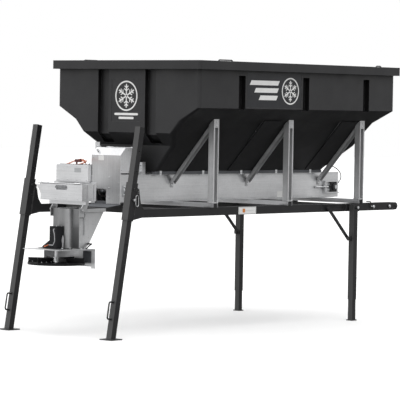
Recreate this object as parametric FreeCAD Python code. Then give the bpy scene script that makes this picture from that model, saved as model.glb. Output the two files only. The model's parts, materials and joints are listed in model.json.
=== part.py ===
import FreeCAD, Part
import math
import os

# Hopper spreader standing on its loading stand. Millimetres, +Z up, floor at z = 0.
# Lengths along X are first written from the hopper's middle, then every part is moved by
# SHIFT_X, which puts the origin under the middle of the whole object.
# -X is the spinner end, +X the cab end, -Y the left side.

V = FreeCAD.Vector
AX, AY, AZ = V(1, 0, 0), V(0, 1, 0), V(0, 0, 1)

# hopper
WALL = 9.0
RIM_TOP, RIM_BOTTOM = 2098.0, 2031.0
RIM_Y, RIM_REAR, RIM_FRONT = 791.0, -1262.0, 1260.0
RIM_CORNER, BODY_CORNER = 25.0, 25.0
BODY_Y, REAR_WALL, FRONT_WALL = 753.0, -1222.0, 1222.0
SHOULDER_Z = 1736.0
SLOPE_Y, SLOPE_Z = 578.0, 1635.0
KNEE_Y, KNEE_Z = 490.0, 1539.0
THROAT_Y, THROAT_Z = 405.0, 1440.0
BASE_Y, BASE_Z = 215.0, 1238.0
SIDE_SLOTS = (-726.0, 58.0, 841.0)
SIDE_SLOT_W, SIDE_SLOT_DEPTH = 80.0, 45.0
REAR_SLOTS = (-247.0, 255.0)
REAR_SLOT_W, REAR_SLOT_DEPTH = 116.0, 36.0
SLOPE_RIBS = (-165.0, 822.0)
RIB_W, RIB_OUT = 215.0, 16.0
VEE_HALF, VEE_RISE, VEE_Z, VEE_BAR = 120.0, 130.0, 1330.0, 22.0
VEE_BARS = (-900.0, 0.0, 640.0)

# screens over the hopper mouth
SCREEN_Z, SCREEN_BAR = 2066.0, 10.0
SCREEN_X, SCREEN_Y = 1185.0, 722.0
RIDGE_HALF = 22.0
REST_Y = (190.0, 640.0)
HANDLES = ((-887.0, 84.0), (1047.0, 35.0))
HANDLE_TOP, HANDLE_R = 2112.0, 5.0
LONG_BARS, CROSS_BARS = 10, 25
HINGE_R, HINGE_BAYS = 7.4, (2, 11, 21)

# posts, braces, cross channels
POSTS = (-857.0, 52.0, 981.0)
POST_W, POST_OUT, POST_IN = 60.0, 612.0, 556.0
POST_GAP, POST_GAP_TOP = 34.0, 1585.0
POST_FOOT, SHEET = 1008.0, 3.0
BRACE_W, BRACE_D = 40.0, 30.0

# conveyor trough
TROUGH_Y, TROUGH_BOTTOM, TROUGH_TOP = 150.0, 1006.0, 1215.0
TROUGH_REAR, TROUGH_FRONT, FLAP_END = -1440.0, 1255.0, -1588.0
DECK_Z = 1062.0
SHAFT_Z, DRIVE_X, IDLER_X = 1089.0, -1375.0, 1180.0
SHAFT_R, SPROCKET_R, CHAIN_T = 16.0, 44.0, 10.0
HUB_R, SHAFT_FIT = 26.0, 0.05

# rear machinery
HOOD_REAR, HOOD_FRONT, HOOD_TOP = -1451.0, -1270.0, 1420.0
HOOD_CHAMFER = 58.0
HOOD_PIN_R, HOOD_BARREL_R, HOOD_BARREL = 3.0, 6.0, 60.0
UPPER_REAR, UPPER_FRONT, UPPER_Y = -1821.0, -1784.0, 170.0
UPPER_BOTTOM, UPPER_TOP = 1163.0, 1291.0
GUARD_REAR, GUARD_FRONT, GUARD_Y = -1930.0, -1785.0, 223.0
GUARD_BOTTOM, GUARD_TOP = 1019.0, 1146.0

# chute and spinner
CHUTE_REAR, CHUTE_Y = -1877.0, 139.0
CHUTE_FRONT_TOP, CHUTE_FRONT_LOW = -1612.0, -1772.0
CHUTE_TOP, CHUTE_BOTTOM = 958.0, 657.0
BULGE_R = 64.0
PIVOT_X, PIVOT_Z = -1868.0, 948.0
HANGER_X = (-1862.0, -1830.0)
SPIN_X, SPIN_R = -1979.0, 217.0
DISC_Z, DISC_T, VANE_H = 545.0, 7.0, 35.0
PLATE_X, PLATE_HALF, PLATE_Z, PLATE_T = -1949.0, 194.0, 651.0, 4.0
CASE_HALF, CASE_H = 39.0, 166.0
SHIELD_LOW, SHIELD_Y, SHIELD_REAR = 512.0, 222.0, -1890.0

# stand
RAIL_Y, RAIL, RAIL_WALL = 545.0, 63.5, 4.8
RAIL_TOP = 968.0
RAIL_REAR, RAIL_FRONT = -1731.0, 985.0
CROSS_TUBES = (-1330.0, 760.0)
LEG, LEG_WALL, LEG_Y = 50.8, 4.8, 544.0
LEG_FOOT_X, LEG_TOP_X, LEG_TOP_Z = -1940.0, -1655.0, 1585.0
SLEEVE_LOW, SLEEVE_HIGH, PIN_Z, UPPER_BOLT_Z = 885.0, 1168.0, 1040.0, 1120.0
LEG_HOLES = (708.0, 529.0)
PIN_R, PIN_GAP = 6.3, 0.4
FOOT_HALF, FOOT_T = 60.0, 8.0
FRONT_X, FRONT_Y, FRONT_LOW = 875.0, 617.0, 174.0
FOLD_X, FOLD_Z = 889.0, 936.0
INNER_LEG = 44.4
INNER_WALL = 3.0
FRONT_FOOT = 31.0
FRONT_HOLES = (353.0, 300.0, 247.0)
STRUT_LOW_X, STRUT_LOW_Z, STRUT_UP_X, STRUT_UP_Z = 830.0, 680.0, 566.0, 934.0
STRUT_W, STRUT_T, STRUT_Y = 30.0, 6.0, 595.0
GUIDE_SLOT = (566.0, 776.0)
ROLLER_X, ROLLER_R = 1512.0, 31.0
NOSE_END = 1518.0
NOSE_BOLTS = (1191.0, 1413.0)
HOOK_X, HOOK_R = 1124.0, 4.5

# the whole object lies between the spinner's rear edge and the front of the rollers
SHIFT_X = -((SPIN_X - SPIN_R) + (ROLLER_X + ROLLER_R)) / 2

LEAN = math.degrees(math.atan2(LEG_TOP_X - LEG_FOOT_X, LEG_TOP_Z))
LEAN_TAN = math.tan(math.radians(LEAN))
LEAN_COS = math.cos(math.radians(LEAN))
HALF = RAIL / 2


def box(x0, x1, y0, y1, z0, z1):
    return Part.makeBox(x1 - x0, y1 - y0, z1 - z0, V(x0, y0, z0))


def rod(p, q, r):
    p, q = V(*p), V(*q)
    return Part.makeCylinder(r, (q - p).Length, p, q - p)


def prism(points, direction):
    wire = Part.makePolygon(points + points[:1])
    return Part.Face(wire).extrude(direction)


def plate_xz(points, y0, y1):
    return prism([V(x, y0, z) for x, z in points], V(0, y1 - y0, 0))


def plate_yz(points, x0, x1):
    return prism([V(x0, y, z) for y, z in points], V(x1 - x0, 0, 0))


def plate_xy(points, z0, z1):
    return prism([V(x, y, z0) for x, y in points], V(0, 0, z1 - z0))


def mirror(shape):
    return shape.mirror(V(0, 0, 0), AY)


def join(parts):
    parts = list(parts)
    return parts[0].fuse(parts[1:]).removeSplitter() if len(parts) > 1 else parts[0]


def cut(shape, tools):
    return shape.cut(list(tools))


def square_tube(half, wall, z0, z1, x=0.0, y=0.0):
    inner = half - wall
    outer = box(x - half, x + half, y - half, y + half, z0, z1)
    return outer.cut(box(x - inner, x + inner, y - inner, y + inner, z0 - 1, z1 + 1))


def bent_rod(points, bend, r):
    """A round bar through the points, its corners bent to the given radius."""
    points = [V(*p) for p in points]
    edges, start = [], points[0]
    for before, corner, after in zip(points, points[1:], points[2:]):
        u, w = (before - corner).normalize(), (after - corner).normalize()
        turn = math.pi - u.getAngle(w)
        reach = bend * math.tan(turn / 2)
        a, b = corner + u * reach, corner + w * reach
        centre = corner + (u + w).normalize() * (bend / math.cos(turn / 2))
        middle = centre + (corner - centre).normalize() * bend
        edges += [Part.LineSegment(start, a).toShape(), Part.Arc(a, middle, b).toShape()]
        start = b
    edges.append(Part.LineSegment(start, points[-1]).toShape())
    path = Part.Wire(edges)
    circle = Part.Wire(Part.makeCircle(r, points[0], points[1] - points[0]))
    return path.makePipeShell([circle], True, False)


def ring_link(centre, half_w, half_h, wire):
    """An upright oval link of round wire in the XZ plane."""
    cx, y, cz = centre
    parts = []
    for side in (-1, 1):
        x = cx + side * half_w
        parts.append(rod((x, y, cz - half_h), (x, y, cz + half_h), wire))
    for z, spin in ((cz + half_h, 0), (cz - half_h, 180)):
        arc = Part.makeTorus(half_w, wire, V(0, 0, 0), AZ, 0, 360, 180)
        arc.rotate(V(0, 0, 0), AX, 90 + spin)
        parts.append(arc.translate(V(cx, y, z)))
    return join(parts)


def hex_bolt(p, direction, across, head):
    d = V(*direction)
    r = across / math.sqrt(3)
    side = AZ if abs(d.z) < 0.5 else AX
    points = [d.cross(side).normalize() * r]
    turn = FreeCAD.Rotation(d, 60)
    for _ in range(5):
        points.append(turn.multVec(points[-1]))
    return prism([V(*p) + q for q in points], d * head)


def lean(shape, side):
    """Tips an upright rear leg part forward about its foot and sets it on its side."""
    shape = shape.copy()
    shape.rotate(V(0, 0, 0), AY, LEAN)
    return shape.translate(V(LEG_FOOT_X, side * LEG_Y, 0))


def leg_x(z):
    return LEG_FOOT_X + z * LEAN_TAN


def save(name, *solids):
    shape = Part.Compound([s.copy() for s in solids]) if len(solids) > 1 else solids[0].copy()
    shape.translate(V(SHIFT_X, 0, 0))
    shape.exportStep("parts/" + name + ".step")


# ---- hopper ---------------------------------------------------------------------------------

def rounded_wire(x0, x1, y, r, z):
    a = r * (1 - math.sqrt(0.5))
    spots = [(x0 + r, -y), (x1 - r, -y), (x1 - a, -y + a), (x1, -y + r), (x1, y - r),
             (x1 - a, y - a), (x1 - r, y), (x0 + r, y), (x0 + a, y - a), (x0, y - r),
             (x0, -y + r), (x0 + a, -y + a)]
    p = [V(px, py, z) for px, py in spots]
    edges = []
    for i in range(0, 12, 3):
        edges.append(Part.LineSegment(p[i], p[i + 1]).toShape())
        edges.append(Part.Arc(p[i + 1], p[i + 2], p[(i + 3) % 12]).toShape())
    return Part.Wire(edges)


def hopper_levels(inset, top, bottom):
    """Ruled body through the hopper's levels, each drawn in by the inset."""
    levels = [(top, REAR_WALL, FRONT_WALL, BODY_Y, BODY_CORNER),
              (SHOULDER_Z, REAR_WALL, FRONT_WALL, BODY_Y, BODY_CORNER),
              (SLOPE_Z, REAR_WALL, FRONT_WALL - 35, SLOPE_Y, 42.0),
              (KNEE_Z, REAR_WALL, FRONT_WALL - 57, KNEE_Y, 40.0),
              (THROAT_Z, REAR_WALL + 97, FRONT_WALL - 77, THROAT_Y, 36.0),
              (bottom, REAR_WALL + 112, 950.0, BASE_Y, 30.0)]
    wires = [rounded_wire(x0 + inset, x1 - inset, y - inset, r - inset, z)
             for z, x0, x1, y, r in levels]
    return Part.makeLoft(wires, True, True)


def slot_tools(grow):
    """The recesses down the rear and side walls, grown for the wall that lines them."""
    tools = []
    half = REAR_SLOT_W / 2 + grow
    d = REAR_SLOT_DEPTH + grow
    for y in REAR_SLOTS:
        line = [(REAR_WALL - 60, RIM_BOTTOM - 3 + grow), (REAR_WALL + d, RIM_BOTTOM - 3 + grow),
                (REAR_WALL + d, KNEE_Z - 14),
                (REAR_WALL + 116 + 2.7 * grow, THROAT_Z + 16 - grow),
                (REAR_WALL + 42, THROAT_Z + 16 - grow), (REAR_WALL - 60, KNEE_Z - 40)]
        tools.append(plate_xz(line, y - half, y + half))
    half = SIDE_SLOT_W / 2 + grow
    d = SIDE_SLOT_DEPTH + grow
    for x in SIDE_SLOTS:
        line = [(BODY_Y + 60, 1990 + grow), (BODY_Y - d, 1990 + grow),
                (BODY_Y - d, SHOULDER_Z - grow), (BODY_Y - 16, SHOULDER_Z - 10 - grow),
                (BODY_Y + 60, SHOULDER_Z - 10 - grow)]
        for side in (-1, 1):
            tools.append(plate_yz([(side * y, z) for y, z in line], x - half, x + half))
    return tools


def slope_ribs(out):
    """Flat raised bands that run down the steep side walls."""
    run = V(0, KNEE_Y - BASE_Y, KNEE_Z - BASE_Z).normalize()
    normal = V(0, run.z, -run.y)
    ribs = []
    for x in SLOPE_RIBS:
        for side in (-1, 1):
            top = V(0, SLOPE_Y + 13, SLOPE_Z + 15)
            foot = V(0, BASE_Y, BASE_Z + 14)
            line = [top - normal * 30, foot - normal * 30, foot + normal * out,
                    top + normal * out]
            ribs.append(plate_yz([(side * p.y, p.z) for p in line], x - RIB_W / 2,
                                 x + RIB_W / 2))
    return ribs


def hopper_rim():
    """A turned-down lip around the mouth."""
    def ring(x0, x1, y, r, z0, z1):
        return Part.Face(rounded_wire(x0, x1, y, r, z0)).extrude(V(0, 0, z1 - z0))
    lip = ring(RIM_REAR, RIM_FRONT, RIM_Y, RIM_CORNER, RIM_BOTTOM, RIM_TOP)
    lip = lip.cut(ring(RIM_REAR + WALL, RIM_FRONT - WALL, RIM_Y - WALL, RIM_CORNER - WALL,
                       RIM_BOTTOM - 1, RIM_TOP - WALL))
    mouth = ring(REAR_WALL + WALL, FRONT_WALL - WALL, BODY_Y - WALL, BODY_CORNER - WALL,
                 RIM_BOTTOM - 2, RIM_TOP + 1)
    return lip, mouth


def hopper_tub():
    lip, mouth = hopper_rim()
    outer = cut(hopper_levels(0, RIM_TOP - WALL, BASE_Z).fuse(slope_ribs(RIB_OUT)),
                slot_tools(0))
    under = box(-1500, 1500, -900, 900, BASE_Z - 200, BASE_Z)
    inner = hopper_levels(WALL, RIM_TOP - WALL + 0.5, BASE_Z)
    inner = cut(inner.fuse(slope_ribs(RIB_OUT - WALL)), slot_tools(WALL))
    mouth_y = BASE_Y - WALL - 12
    foot = box(REAR_WALL + 142, 900, -mouth_y, mouth_y, BASE_Z - 50, BASE_Z + 40)
    tub = cut(outer.fuse(lip), [inner, mouth, foot, under])
    pads = [box(REAR_WALL - 1, REAR_WALL + 2, -146, 166, 1624, 1952)]
    for side in (-1, 1):
        y0, y1 = sorted((side * BODY_Y, side * (BODY_Y - 2)))
        pads.append(box(-668, 0, y0, y1 + 0.01, 1744, 2020))
    save("hopper_tub", cut(tub, pads).removeSplitter())


def inverted_vee():
    """A peaked baffle that keeps the load's weight off the conveyor."""
    outer = [(-VEE_HALF, VEE_Z), (0, VEE_Z + VEE_RISE), (VEE_HALF, VEE_Z)]
    t = 5.0
    inner = [(VEE_HALF - 2 * t, VEE_Z), (0, VEE_Z + VEE_RISE - 2 * t), (-VEE_HALF + 2 * t, VEE_Z)]
    ridge = plate_yz(outer + inner, -1030, 880)
    slope = (THROAT_Y - BASE_Y) / (THROAT_Z - BASE_Z)
    low = BASE_Y + slope * (VEE_Z - BASE_Z) - WALL - 0.6
    high = low + slope * VEE_BAR
    ends = [(-low, VEE_Z), (low, VEE_Z), (high, VEE_Z + VEE_BAR), (-high, VEE_Z + VEE_BAR)]
    hangers = [plate_yz(ends, x, x + 6) for x in VEE_BARS]
    save("inverted_vee", join([ridge] + hangers))


def cross_bar_x(i):
    return -SCREEN_X + i * (2 * SCREEN_X - SCREEN_BAR) / (CROSS_BARS - 1)


def hinge_x(bay):
    """The middle of the space between a cross bar and the next."""
    return (cross_bar_x(bay) + cross_bar_x(bay + 1) + SCREEN_BAR) / 2


def screen_ridge():
    """The beam down the middle of the mouth with its hinge straps, and the screens' rest blocks."""
    half = RIDGE_HALF - 3
    x0, x1 = REAR_WALL + WALL, FRONT_WALL - WALL
    beam = box(x0, x1, -half, half, SCREEN_Z - 40, SCREEN_Z + 8)
    inner = box(x0 + 21, x1 - 21, -half + 4, half - 4, SCREEN_Z - 41, SCREEN_Z + 4)
    top = SCREEN_Z - 1.1 * SCREEN_BAR - 0.3
    rests = []
    for y in REST_Y:
        for a, b in ((x0, -SCREEN_X + 24), (SCREEN_X - 24, x1)):
            for side in (-1, 1):
                rests.append(box(a, b, side * y - 30, side * y + 30, top - 8, top))
    straps = [box(hinge_x(i) - 12, hinge_x(i) + 12, -36, 36, SCREEN_Z + 8, SCREEN_Z + 11)
              for i in HINGE_BAYS]
    save("screen_ridge", join([beam.cut(inner)] + straps), *rests)


def top_screen(side):
    """A bar grate with hinge barrels along its inner bar and two lift loops on its outer bar."""
    bar, y0, y1 = SCREEN_BAR, RIDGE_HALF, SCREEN_Y
    z0, z1 = SCREEN_Z - bar / 2, SCREEN_Z + bar / 2
    parts = []
    for i in range(LONG_BARS):
        y = y0 + i * (y1 - y0 - bar) / (LONG_BARS - 1)
        parts.append(box(-SCREEN_X, SCREEN_X, y, y + bar, z0, z1))
    for i in range(CROSS_BARS):
        x = cross_bar_x(i)
        parts.append(box(x, x + bar, y0, y1, z0 - bar * 0.6, z0 + bar * 0.4))
    for i in HINGE_BAYS:
        x, y = hinge_x(i), y0 + bar / 2
        parts.append(rod((x - 20, y, SCREEN_Z), (x + 20, y, SCREEN_Z), HINGE_R))
    loops = []
    for x, half in HANDLES:
        y, z = y1 - bar / 2, HANDLE_TOP - HANDLE_R
        loops.append(bent_rod([(x - half, y, z1), (x - half, y, z), (x + half, y, z),
                               (x + half, y, z1)], 18, HANDLE_R))
    solids = [join(parts)] + loops
    if side < 0:
        solids = [mirror(s) for s in solids]
    save("top_screen_left" if side < 0 else "top_screen_right", *solids)


def side_post(x):
    """A lipped channel post that carries the hopper's shoulder, open outwards, with its foot."""
    half = POST_W / 2
    line = [(POST_OUT, POST_FOOT), (POST_OUT, SLOPE_Z + 18), (SLOPE_Y + 2, SLOPE_Z - 3),
            (POST_IN, SLOPE_Z - 29), (POST_IN, POST_FOOT)]
    post = plate_yz(line, x - half, x + half)
    hollow = box(x - half + SHEET, x + half - SHEET, POST_IN + SHEET, POST_OUT - SHEET,
                 POST_FOOT - 1, 1700)
    gap = box(x - POST_GAP / 2, x + POST_GAP / 2, POST_OUT - SHEET - 1, POST_OUT + 1, POST_FOOT - 1,
              POST_GAP_TOP)
    foot = box(x - half - 4, x + half + 4, POST_IN - 2, POST_OUT, POST_FOOT - 5, POST_FOOT)
    return join([cut(post, [hollow, gap]), foot])


def post_brace(x):
    """A channel brace from a post's head down to the trough's wall."""
    top, foot = V(0, POST_IN + 4, 1588), V(0, TROUGH_Y + 10, 1144.5)
    run = (foot - top).normalize()
    across = V(0, run.z, -run.y) * (BRACE_D / 2)
    line = [(p.y, p.z) for p in (top - across, foot - across, foot + across, top + across)]
    brace = plate_yz(line, x - BRACE_W / 2, x + BRACE_W / 2)
    t = across * (1 - 2 * SHEET / BRACE_D)
    line = [(p.y, p.z) for p in (top - across * 2 - run * 9, foot - across * 2 + run * 9,
                                 foot + t + run * 9, top + t - run * 9)]
    groove = plate_yz(line, x - BRACE_W / 2 + SHEET, x + BRACE_W / 2 - SHEET)
    tab = box(x - BRACE_W / 2 + SHEET, x + BRACE_W / 2 - SHEET, TROUGH_Y, TROUGH_Y + 4,
              1110, 1175)
    trim = [box(x - 40, x + 40, POST_IN, 700, 1400, 1700),
            box(x - 40, x + 40, 0, TROUGH_Y, 1000, 1400)]
    return join([cut(brace, [groove] + trim), tab])


def posts_and_braces():
    posts = [side_post(x) for x in POSTS]
    braces = [post_brace(x) for x in POSTS]
    save("side_posts_left", *[mirror(p) for p in posts])
    save("side_posts_right", *posts)
    save("post_braces", *(braces + [mirror(b) for b in braces]))


def cross_channels():
    channels = []
    for x in POSTS:
        beam = box(x - 27, x + 27, -POST_OUT, POST_OUT, RAIL_TOP, TROUGH_BOTTOM - 3)
        channels.append(beam.cut(box(x - 24, x + 24, -700, 700, RAIL_TOP - 1,
                                     TROUGH_BOTTOM - 6)))
    save("cross_channels", *channels)


# ---- conveyor -------------------------------------------------------------------------------

def trough():
    """The long open channel under the hopper, with turned-out top and bottom edges."""
    y, z0, z1 = TROUGH_Y, TROUGH_BOTTOM, TROUGH_TOP
    parts = [box(TROUGH_REAR, TROUGH_FRONT, s * y - (SHEET if s > 0 else 0),
                 s * y + (SHEET if s < 0 else 0), z0 - 3, z1) for s in (-1, 1)]
    parts.append(box(TROUGH_REAR + 60, TROUGH_FRONT - 60, -y, y, z0 - 3, z0))
    for s in (-1, 1):
        a, b = sorted((s * (y - SHEET), s * (y + 45)))
        parts.append(box(-1105, 945, a, b, z1 - SHEET, z1))
        a, b = sorted((s * (y - SHEET), s * (y + 42)))
        parts.append(box(TROUGH_REAR + 60, TROUGH_FRONT - 110, a, b, z0 - 3, z0))
    body = join(parts)
    holes = []
    for x, r in ((DRIVE_X, HUB_R + 3), (IDLER_X, HUB_R + 3)):
        holes.append(rod((x, -300, SHAFT_Z), (x, 300, SHAFT_Z), r))
        if x > 0:
            holes.append(box(x - 40, x, -300, 300, SHAFT_Z - r, SHAFT_Z + r))
            holes.append(rod((x - 40, -300, SHAFT_Z), (x - 40, 300, SHAFT_Z), r))
    save("trough", cut(body, holes))


def conveyor_deck():
    """The floor the drag bars slide on, carried on two ledges above the trough's floor."""
    x0, x1, top = DRIVE_X + 60, IDLER_X - 90, DECK_Z + 22
    deck = box(x0, x1, -TROUGH_Y + SHEET, TROUGH_Y - SHEET, top - 4, top)
    ledges = [box(x0, x1, s * 128 - 3, s * 128 + 3, TROUGH_BOTTOM, top - 4) for s in (-1, 1)]
    save("conveyor_deck", join([deck] + ledges))


def rubber_seals():
    """Flat strips between the hopper's foot and the trough's edge, and the flap at its rear end."""
    notches = [box(x - 24, x + 24, TROUGH_Y + 44, 300, TROUGH_TOP - 1, BASE_Z + 1) for x in POSTS]
    strip = cut(box(-1105, 945, TROUGH_Y + 13, BASE_Y, TROUGH_TOP, BASE_Z), notches)
    x, z = TROUGH_REAR, TROUGH_BOTTOM - SHEET
    line = [(x - SHEET, z), (x + 62, z), (x + 62, z - SHEET), (x, z - SHEET), (x, z - 23),
            (FLAP_END, 962), (FLAP_END, 966), (x - SHEET, z - 19)]
    flap = plate_xz(line, -TROUGH_Y, TROUGH_Y)
    save("rubber_seals", strip, mirror(strip), flap)


def conveyor_chain():
    """Two strands of chain round the end sprockets, joined by flat drag bars."""
    r0, r1 = SPROCKET_R + 0.6, SPROCKET_R + 0.6 + CHAIN_T

    def band(r, y0, y1):
        a = Part.Arc(V(DRIVE_X, y0, SHAFT_Z + r), V(DRIVE_X - r, y0, SHAFT_Z),
                     V(DRIVE_X, y0, SHAFT_Z - r)).toShape()
        b = Part.LineSegment(V(DRIVE_X, y0, SHAFT_Z - r), V(IDLER_X, y0, SHAFT_Z - r)).toShape()
        c = Part.Arc(V(IDLER_X, y0, SHAFT_Z - r), V(IDLER_X + r, y0, SHAFT_Z),
                     V(IDLER_X, y0, SHAFT_Z + r)).toShape()
        d = Part.LineSegment(V(IDLER_X, y0, SHAFT_Z + r), V(DRIVE_X, y0, SHAFT_Z + r)).toShape()
        return Part.Face(Part.Wire([a, b, c, d])).extrude(V(0, y1 - y0, 0))
    parts = [band(r1, y, y + 14).cut(band(r0, y - 1, y + 15)) for y in (-104, 90)]
    for z0 in (SHAFT_Z + r0 + 1, SHAFT_Z - r1 + 1):
        for i in range(22):
            x = DRIVE_X + 30 + i * 114
            parts.append(box(x, x + 34, -96, 96, z0, z0 + 8))
    save("conveyor_chain", join(parts))


def sprocket_shaft(name, x, y0, y1):
    """A cross shaft with two toothed wheels, held in bearings at both ends."""
    parts = [rod((x, y0, SHAFT_Z), (x, y1, SHAFT_Z), SHAFT_R)]
    for y in (-103, 91):
        wheel = rod((x, y, SHAFT_Z), (x, y + 12, SHAFT_Z), SPROCKET_R)
        gaps = [rod((x + SPROCKET_R * math.cos(a), y - 1, SHAFT_Z + SPROCKET_R * math.sin(a)),
                    (x + SPROCKET_R * math.cos(a), y + 13, SHAFT_Z + SPROCKET_R * math.sin(a)), 7)
                for a in [math.radians(45 * i) for i in range(8)]]
        parts.append(cut(wheel, gaps))
        parts.append(rod((x, y - 8, SHAFT_Z), (x, y + 20, SHAFT_Z), HUB_R - 2))
    save(name, join(parts))


def flange_bearing(x, side, half, r_bore):
    """A square flange block with a round boss; its inner face lies on the trough's wall."""
    y = side * TROUGH_Y
    out = side * 12
    block = box(x - half, x + half, min(y, y + out), max(y, y + out), SHAFT_Z - half,
                SHAFT_Z + half)
    boss = rod((x, y + out, SHAFT_Z), (x, y + out * 2.6, SHAFT_Z), half * 0.72)
    body = join([block, boss])
    body = cut(body, [rod((x, y - out, SHAFT_Z), (x, y + out * 3, SHAFT_Z), r_bore)])
    bolts = [hex_bolt((x + a * half * 0.74, y + out, SHAFT_Z + b * half * 0.74),
                      (0, side, 0), 13, 7) for a in (-1, 1) for b in (-1, 1)]
    return join([body] + bolts)


def bearings():
    bore = SHAFT_R + SHAFT_FIT
    save("drive_bearings", *[flange_bearing(DRIVE_X, s, 42, bore) for s in (-1, 1)])
    save("idler_bearings", *[flange_bearing(IDLER_X, s, 42, bore) for s in (-1, 1)])


def takeup_frames():
    """Guides for the sliding idler bearings, each with its tension screw."""
    frames = []
    for s in (-1, 1):
        y0, y1 = sorted((s * TROUGH_Y, s * (TROUGH_Y + 26)))
        low = box(IDLER_X - 120, IDLER_X + 66, y0, y1, SHAFT_Z - 52, SHAFT_Z - 43)
        high = box(IDLER_X - 120, IDLER_X + 66, y0, y1, SHAFT_Z + 43, SHAFT_Z + 52)
        end = box(IDLER_X - 128, IDLER_X - 120, y0, y1, SHAFT_Z - 52, SHAFT_Z + 52)
        y = s * (TROUGH_Y + 14)
        screw = rod((IDLER_X - 235, y, SHAFT_Z), (IDLER_X - 76, y, SHAFT_Z), 8)
        nut = hex_bolt((IDLER_X - 142, y, SHAFT_Z), (1, 0, 0), 25, 14)
        head = hex_bolt((IDLER_X - 245, y, SHAFT_Z), (1, 0, 0), 20, 10)
        frames.append(join([low, high, end, screw, nut, head]))
    save("takeup_frames", *frames)


def feed_gate():
    """A gate plate behind the hopper that sets the depth of the load on the conveyor."""
    x = -1240.0
    blade = box(x, x + 4, -TROUGH_Y + SHEET + 1, TROUGH_Y - SHEET - 1, SHAFT_Z + 66, 1330)
    flange = box(x - 26, x, -TROUGH_Y + SHEET + 1, TROUGH_Y - SHEET - 1, 1326, 1330)
    knob = rod((x - 13, 0, 1330), (x - 13, 0, 1352), 9)
    save("feed_gate", join([blade, flange, knob]))


def gate_frame():
    """The upright frame at the trough's rear that guides the gate and holds the hood's hinge pin."""
    x0 = -1260.0
    parts = []
    for s in (-1, 1):
        a, b = sorted((s * TROUGH_Y, s * (TROUGH_Y + 3)))
        parts.append(box(x0, -1165, a, b, TROUGH_TOP + 0.5, 1310))
        a, b = sorted((s * TROUGH_Y, s * (TROUGH_Y - 3)))
        parts.append(box(x0, -1225, a, b, TROUGH_TOP + 0.5, 1400))
        for wide, high in ((55, 1310), (13, HOOD_TOP + 8)):
            a, b = sorted((s * (TROUGH_Y - 3), s * (TROUGH_Y + wide)))
            parts.append(box(x0, x0 + 4, a, b, TROUGH_TOP + 0.5, high))
        a, b = sorted((s * (TROUGH_Y + 6), s * (TROUGH_Y + 12)))
        parts.append(box(HOOD_FRONT - 6, x0, a, b, HOOD_TOP - 8, HOOD_TOP + 8))
    parts.append(box(x0, x0 + 4, TROUGH_Y - 3, TROUGH_Y + 148, 1292, 1310))
    parts.append(box(x0, x0 + 4, TROUGH_Y + 100, TROUGH_Y + 148, 1300, 1458))
    parts.append(box(x0 + 28, x0 + 32, -TROUGH_Y, TROUGH_Y, 1375, 1398))
    parts.append(rod((HOOD_FRONT, -TROUGH_Y - 14, HOOD_TOP), (HOOD_FRONT, TROUGH_Y + 14, HOOD_TOP),
                     HOOD_PIN_R))
    save("gate_frame", join(parts))


# ---- rear machinery -------------------------------------------------------------------------

def drive_hood():
    """A folded cover over the conveyor's discharge end, chamfered at the top."""
    def outline(t, low):
        top = HOOD_TOP - t
        return [(HOOD_REAR + t, low), (HOOD_FRONT, low), (HOOD_FRONT, top),
                (HOOD_REAR + HOOD_CHAMFER + t * 0.4, top),
                (HOOD_REAR + t, top - HOOD_CHAMFER + t * 0.6)]
    y = TROUGH_Y + 4
    low = TROUGH_BOTTOM - 20
    shell = plate_xz(outline(0, low), -y, y)
    inside = plate_xz(outline(SHEET, low - 1), -y + SHEET, y - SHEET)
    open_front = box(HOOD_FRONT - 1, HOOD_FRONT + 1, -y + SHEET, y - SHEET, low - 1,
                     HOOD_TOP - SHEET)
    side_cuts = [box(HOOD_REAR + 8, HOOD_FRONT + 1, -y - 40, y + 40, low - 1, 1226)]
    arch = join([box(HOOD_REAR - 5, HOOD_REAR + 20, -8, 112, low - 1, 1086),
                 box(HOOD_REAR - 5, HOOD_REAR + 20, 6, 98, 1086, 1100),
                 rod((HOOD_REAR - 5, 6, 1086), (HOOD_REAR + 20, 6, 1086), 14),
                 rod((HOOD_REAR - 5, 98, 1086), (HOOD_REAR + 20, 98, 1086), 14)])
    barrels = [rod((HOOD_FRONT, a, HOOD_TOP), (HOOD_FRONT, a + HOOD_BARREL, HOOD_TOP), HOOD_BARREL_R)
               for a in (-y, y - HOOD_BARREL)]
    bore = rod((HOOD_FRONT, -y - 1, HOOD_TOP), (HOOD_FRONT, y + 1, HOOD_TOP), HOOD_PIN_R + SHAFT_FIT)
    hood = join([cut(shell, [inside, open_front, arch] + side_cuts)] + barrels).cut(bore)
    bolts = [hex_bolt((HOOD_REAR, -34, z), (-1, 0, 0), 13, 6) for z in (1035, 1108, 1190)]
    knob = rod((HOOD_REAR + 28, 106, 1390), (HOOD_REAR + 10, 106, 1408), 9)
    save("drive_hood", join([hood, knob] + bolts))


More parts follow.
